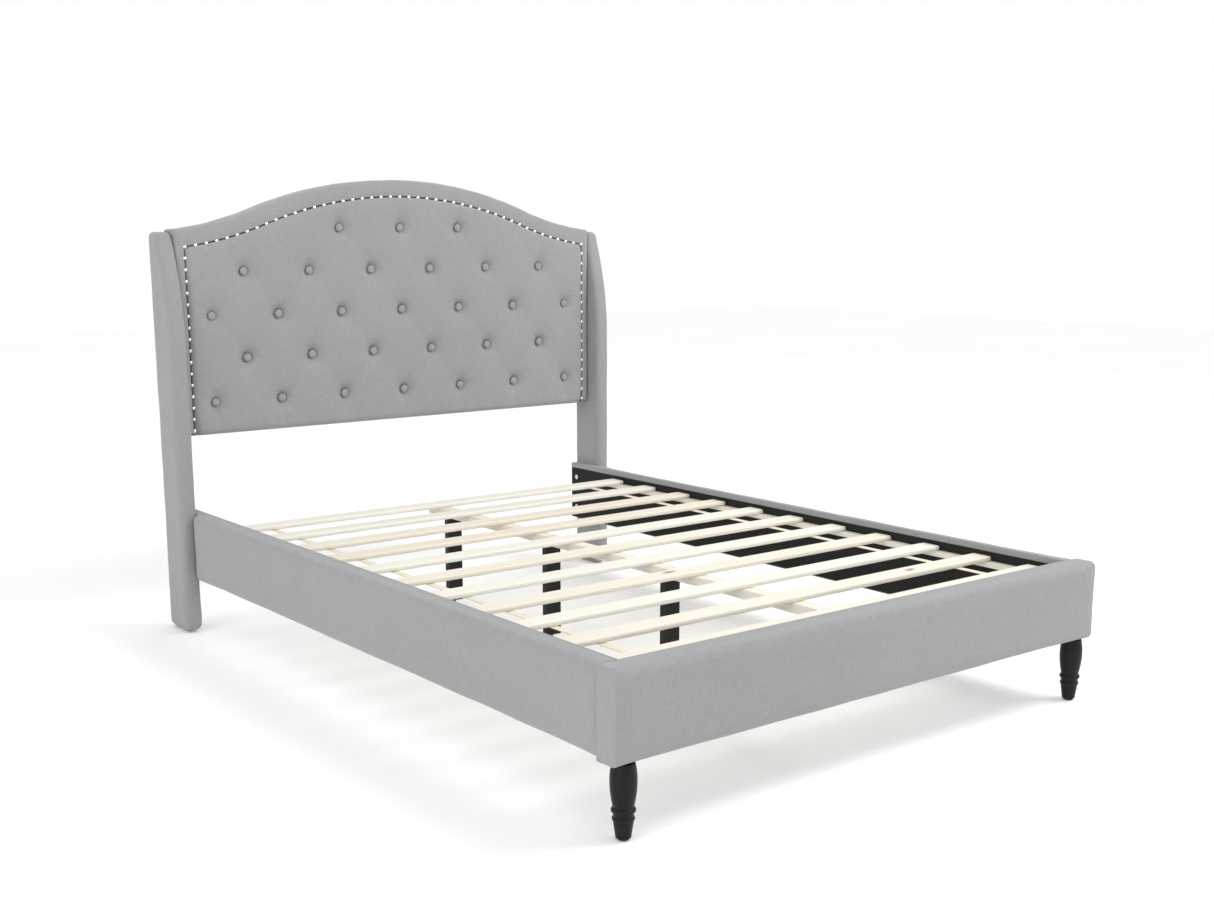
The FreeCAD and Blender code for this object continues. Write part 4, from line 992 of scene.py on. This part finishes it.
def wing_skin(node):
    """The right wing's sleeve, remeshed evenly, a little smaller than its cover."""
    inner, outer = low(node).x, high(node).x
    shrink = WING_SHRINK
    loops = []
    for distance, inset in end_insets(WING_RADIUS, 5):
        loops.append([(inner + shrink + distance, y, z) for y, z in wing_outline(node, inset + shrink)])
    for distance, inset in reversed(end_insets(WING_RADIUS, 5)):
        loops.append([(outer - shrink - distance, y, z) for y, z in wing_outline(node, inset + shrink)])
    piece = loft("wing_upholstery_right", loops, linen)
    outward_normals(piece)
    remesh = piece.modifiers.new("remesh", "REMESH")
    remesh.mode = "VOXEL"
    remesh.voxel_size = VOXEL
    apply_modifiers(piece)
    piece.data.materials.clear()
    piece.data.materials.append(linen)
    return piece


def make_wings():
    """One wing as a padded sleeve, swollen as cloth; the other side mirrors it."""
    node = "wing_cover_right"
    inner, outer = low(node).x, high(node).x
    piece = wing_skin(node)
    points = coordinates(piece.data)
    held = np.where(points[:, 2] < low(node).z + 8 * MM, 1.0, 0.0)
    puff(piece, COVER_SWELL, held, WING_PRESSURE)
    subdivide(piece)
    rumple(piece, 0.09, 1.2 * MM, 3)
    smooth = piece.modifiers.new("smooth", "SMOOTH")
    smooth.factor = 0.5
    smooth.iterations = 8
    apply_modifiers(piece)
    mesh = piece.data
    points = coordinates(mesh)
    points[:, 0] = np.clip(points[:, 0], inner + 0.2 * MM, outer + 3 * MM)
    points[:, 2] = np.maximum(points[:, 2], low(node).z)
    set_coordinates(mesh, points)
    mesh.polygons.foreach_set("use_smooth", [True] * len(mesh.polygons))
    twin = mirror_twin(piece, "wing_upholstery_left")
    finish_piece(piece, node, fill=0.9)
    finish_piece(twin, "wing_cover_left", fill=0.9)


def mirror_twin(piece, name):
    """A copy of a piece on the other side of the bed."""
    mesh = piece.data.copy()
    mirrored = coordinates(mesh)
    mirrored[:, 0] *= -1
    set_coordinates(mesh, mirrored)
    mesh.flip_normals()
    twin = bpy.data.objects.new(name, mesh)
    bpy.context.scene.collection.objects.link(twin)
    return twin


# ---------------------------------------------------------------- rails

def make_side_rail(side, sign):
    """Padded cover of a side rail, the cloth round its head end, and its hem over the lining."""
    node = f"side_rail_cover_{side}"
    start, stop = low(node).y, high(node).y
    bottom, top = low(node).z, high(node).z
    outer = max(abs(low(node).x), abs(high(node).x))
    inner = min(abs(low(node).x), abs(high(node).x)) + COVER_BEHIND_LINING
    stations = [(start + distance, inset) for distance, inset in end_insets(4 * MM, 3)]
    steps = 190
    stations += [(start + 4 * MM + (stop - start - 14 * MM) * step / steps, 0) for step in range(1, steps)]
    stations += [(stop - distance, inset) for distance, inset in reversed(end_insets(10 * MM, 4))]
    loops = []
    for y, inset in stations:
        radii = [max(radius - inset, 0.5 * MM) for radius in (3 * MM, RAIL_RADIUS, RAIL_RADIUS, 6 * MM)]
        loop = rounded_loop(inner + inset, outer - inset, bottom + inset, top - inset, radii, 3, 18)
        loops.append([(sign * u, y, v) for u, v in loop])
    piece = loft(f"side_rail_upholstery_{side}", loops, linen)
    outward_normals(piece)
    points = coordinates(piece.data)
    held = np.where(np.abs(points[:, 0]) < inner + 5 * MM, 1.0, 0.0)
    at_end = (points[:, 1] < start + 5 * MM) | (points[:, 1] > stop - 8 * MM)
    held = np.maximum(held, np.where(at_end, 1.0, 0.0))
    puff(piece, COVER_SWELL, held, PAD_PRESSURE)
    subdivide(piece)
    points = coordinates(piece.data)
    free = np.clip((np.abs(points[:, 0]) - inner - 4 * MM) / (10 * MM), 0, 1)
    rumple(piece, 0.11, 1.3 * MM, 7 + sign, free)
    finish_piece(piece, node, fill=0.7)
    hem_stop = make_rail_end(side, sign, inner, top)
    hem_x = sign * (inner - COVER_BEHIND_LINING - HEM_PROUD)
    make_hem(f"side_rail_hem_{side}", [(hem_x, start + 2 * MM), (hem_x, hem_stop)], (sign, 0), top)


def make_rail_end(side, sign, inner, top):
    """The cover's cloth carried round the board where it passes the wing; returns where it ends."""
    board = f"side_rail_board_{side}"
    outer = max(abs(low(board).x), abs(high(board).x)) + RAIL_END_PROUD
    start = high(f"side_rail_cover_{side}").y - 4 * MM
    stop = high(board).y + RAIL_END_WRAP
    bottom = low(board).z - RAIL_END_WRAP
    steps = 16
    stations = [(start + (stop - start) * step / steps, 0) for step in range(steps)]
    stations += [(stop - distance, inset) for distance, inset in reversed(end_insets(4 * MM, 3))]
    loops = []
    for y, inset in stations:
        radii = [max(3 * MM - inset, 0.5 * MM)] * 4
        loop = rounded_loop(inner + inset, outer - inset, bottom + inset, top - inset, radii, 3, 12)
        loops.append([(sign * u, y, v) for u, v in loop])
    piece = loft(f"side_rail_end_cloth_{side}", loops, linen)
    outward_normals(piece)
    finish_piece(piece, fill=0.3)
    return stop


def make_hem(name, ends, out, top):
    """A folded hem of cloth, thickest at its lower edge, along the inside of a rail's top."""
    (start_x, start_y), (stop_x, stop_y) = ends
    section = [(0.0, -0.5), (0.0, -HEM_HEIGHT / MM + 1), (0.6, -HEM_HEIGHT / MM), (1.8, -HEM_HEIGHT / MM),
               (3.2, -HEM_HEIGHT / MM + 1.5), (6.0, -2.0), (5.0, -0.3), (2.2, 0.1)]
    steps = 150
    loops = []
    for step in range(steps + 1):
        share = step / steps
        x = start_x + (stop_x - start_x) * share
        y = start_y + (stop_y - start_y) * share
        wave = 0.5 * noise.noise(Vector((x * 12, y * 12, 1.0)))
        loops.append([(x + out[0] * deep * MM, y + out[1] * deep * MM,
                       top + (rise - (wave if rise < -3 else 0)) * MM) for deep, rise in section])
    piece = loft(name, loops, linen)
    outward_normals(piece)
    return finish_piece(piece, fill=0.2)


def make_foot_rail():
    """Padded cover of the foot rail with soft corners, and its inner hem."""
    node = "foot_rail_cover"
    front, back = low(node).y, high(node).y
    bottom, top = low(node).z, high(node).z
    half = high(node).x
    lining_half = high("foot_rail_lining").x
    stations = [(-half + distance, inset) for distance, inset in end_insets(FOOT_END_RADIUS, 5)]
    steps = 150
    span = 2 * (half - FOOT_END_RADIUS)
    stations += [(-half + FOOT_END_RADIUS + span * step / steps, 0) for step in range(1, steps)]
    stations += [(half - distance, inset) for distance, inset in reversed(end_insets(FOOT_END_RADIUS, 5))]
    loops = []
    for x, inset in stations:
        inner = back - (COVER_BEHIND_LINING if abs(x) < lining_half else 0)
        radii = [max(radius - inset, 0.5 * MM) for radius in (FOOT_RADIUS, 3 * MM, 5 * MM, FOOT_RADIUS)]
        loop = rounded_loop(front + inset, inner, bottom + inset, top - inset, radii, 5, 18)
        loops.append([(x, u, v) for u, v in loop])
    piece = loft("foot_rail_upholstery", loops, linen)
    outward_normals(piece)
    points = coordinates(piece.data)
    at_end = np.abs(points[:, 0]) > half - 2 * FOOT_END_RADIUS
    held = np.where((points[:, 1] > back - 6 * MM) | at_end, 1.0, 0.0)
    puff(piece, COVER_SWELL, held, PAD_PRESSURE)
    subdivide(piece)
    points = coordinates(piece.data)
    free = np.clip((back - points[:, 1] - 5 * MM) / (12 * MM), 0, 1)
    rumple(piece, 0.12, 1.3 * MM, 11, free)
    finish_piece(piece, node, fill=0.7)
    hem_y = back + HEM_PROUD
    make_hem("foot_rail_hem", [(-lining_half, hem_y), (lining_half, hem_y)], (0, -1), top)


# ---------------------------------------------------------------- room, light, camera

def make_stage():
    floor = new_piece("floor", [(-14, -14, 0), (14, -14, 0), (14, 14, 0), (-14, 14, 0)], [(0, 1, 2, 3)],
                      make_floor(), smooth=False)


def make_floor():
    made, shader, add, links = material("pale_floor")
    place = object_place(add)
    shade = ramp(add, noise_value(add, place, 0.8), [(0.3, gray(0.90)), (0.7, gray(0.92))])
    links.new(shade, shader.inputs["Base Color"])
    shader.inputs["Roughness"].default_value = 0.9
    shader.inputs["Emission Color"].default_value = (1, 1, 1, 1)
    shader.inputs["Emission Strength"].default_value = 0.06
    return made


def area_light(name, place, target, size, power):
    data = bpy.data.lights.new(name, "AREA")
    data.shape = "RECTANGLE"
    data.size, data.size_y = size
    data.energy = power
    light = bpy.data.objects.new(name, data)
    light.location = place
    light.rotation_euler = (Vector(target) - Vector(place)).to_track_quat("-Z", "Y").to_euler()
    bpy.context.scene.collection.objects.link(light)


def make_light():
    world = bpy.data.worlds.new("studio")
    world.use_nodes = True
    world.node_tree.nodes["Background"].inputs["Color"].default_value = (1.0, 1.0, 1.0, 1)
    world.node_tree.nodes["Background"].inputs["Strength"].default_value = 1.0
    bpy.context.scene.world = world
    bpy.context.scene.view_settings.view_transform = "Standard"
    area_light("key", (2.6, -2.2, 4.2), (0, 0, 0.4), (2.0, 2.0), 115)
    area_light("left_fill", (-5.0, -1.6, 1.8), (0, 0, 0.5), (3.0, 3.0), 62)
    area_light("front_fill", (-1.5, -5.5, 1.8), (0, 0, 0.5), (4.0, 2.5), 5)


def make_camera():
    """The photograph's view: from the left of the foot, a little above the headboard's middle."""
    data = bpy.data.cameras.new("camera")
    data.sensor_width = 36
    data.lens = 44.24
    data.shift_y = 0.0666
    camera = bpy.data.objects.new("camera", data)
    camera.location = (-2.3847, -3.1056, 1.1391)
    yaw, pitch = math.radians(38.09), math.radians(11.56)
    aim = Vector((math.sin(yaw) * math.cos(pitch), math.cos(yaw) * math.cos(pitch), -math.sin(pitch)))
    camera.rotation_euler = aim.to_track_quat("-Z", "Y").to_euler()
    bpy.context.scene.collection.objects.link(camera)
    bpy.context.scene.camera = camera


make_camera()
make_light()
make_stage()
dress_frame()
make_tufted_pad()
make_pad_lip()
make_border()
make_buttons()
make_back_cloth()
make_staples()
make_wings()
for side_name, side_sign in SIDES:
    make_side_rail(side_name, side_sign)
make_foot_rail()
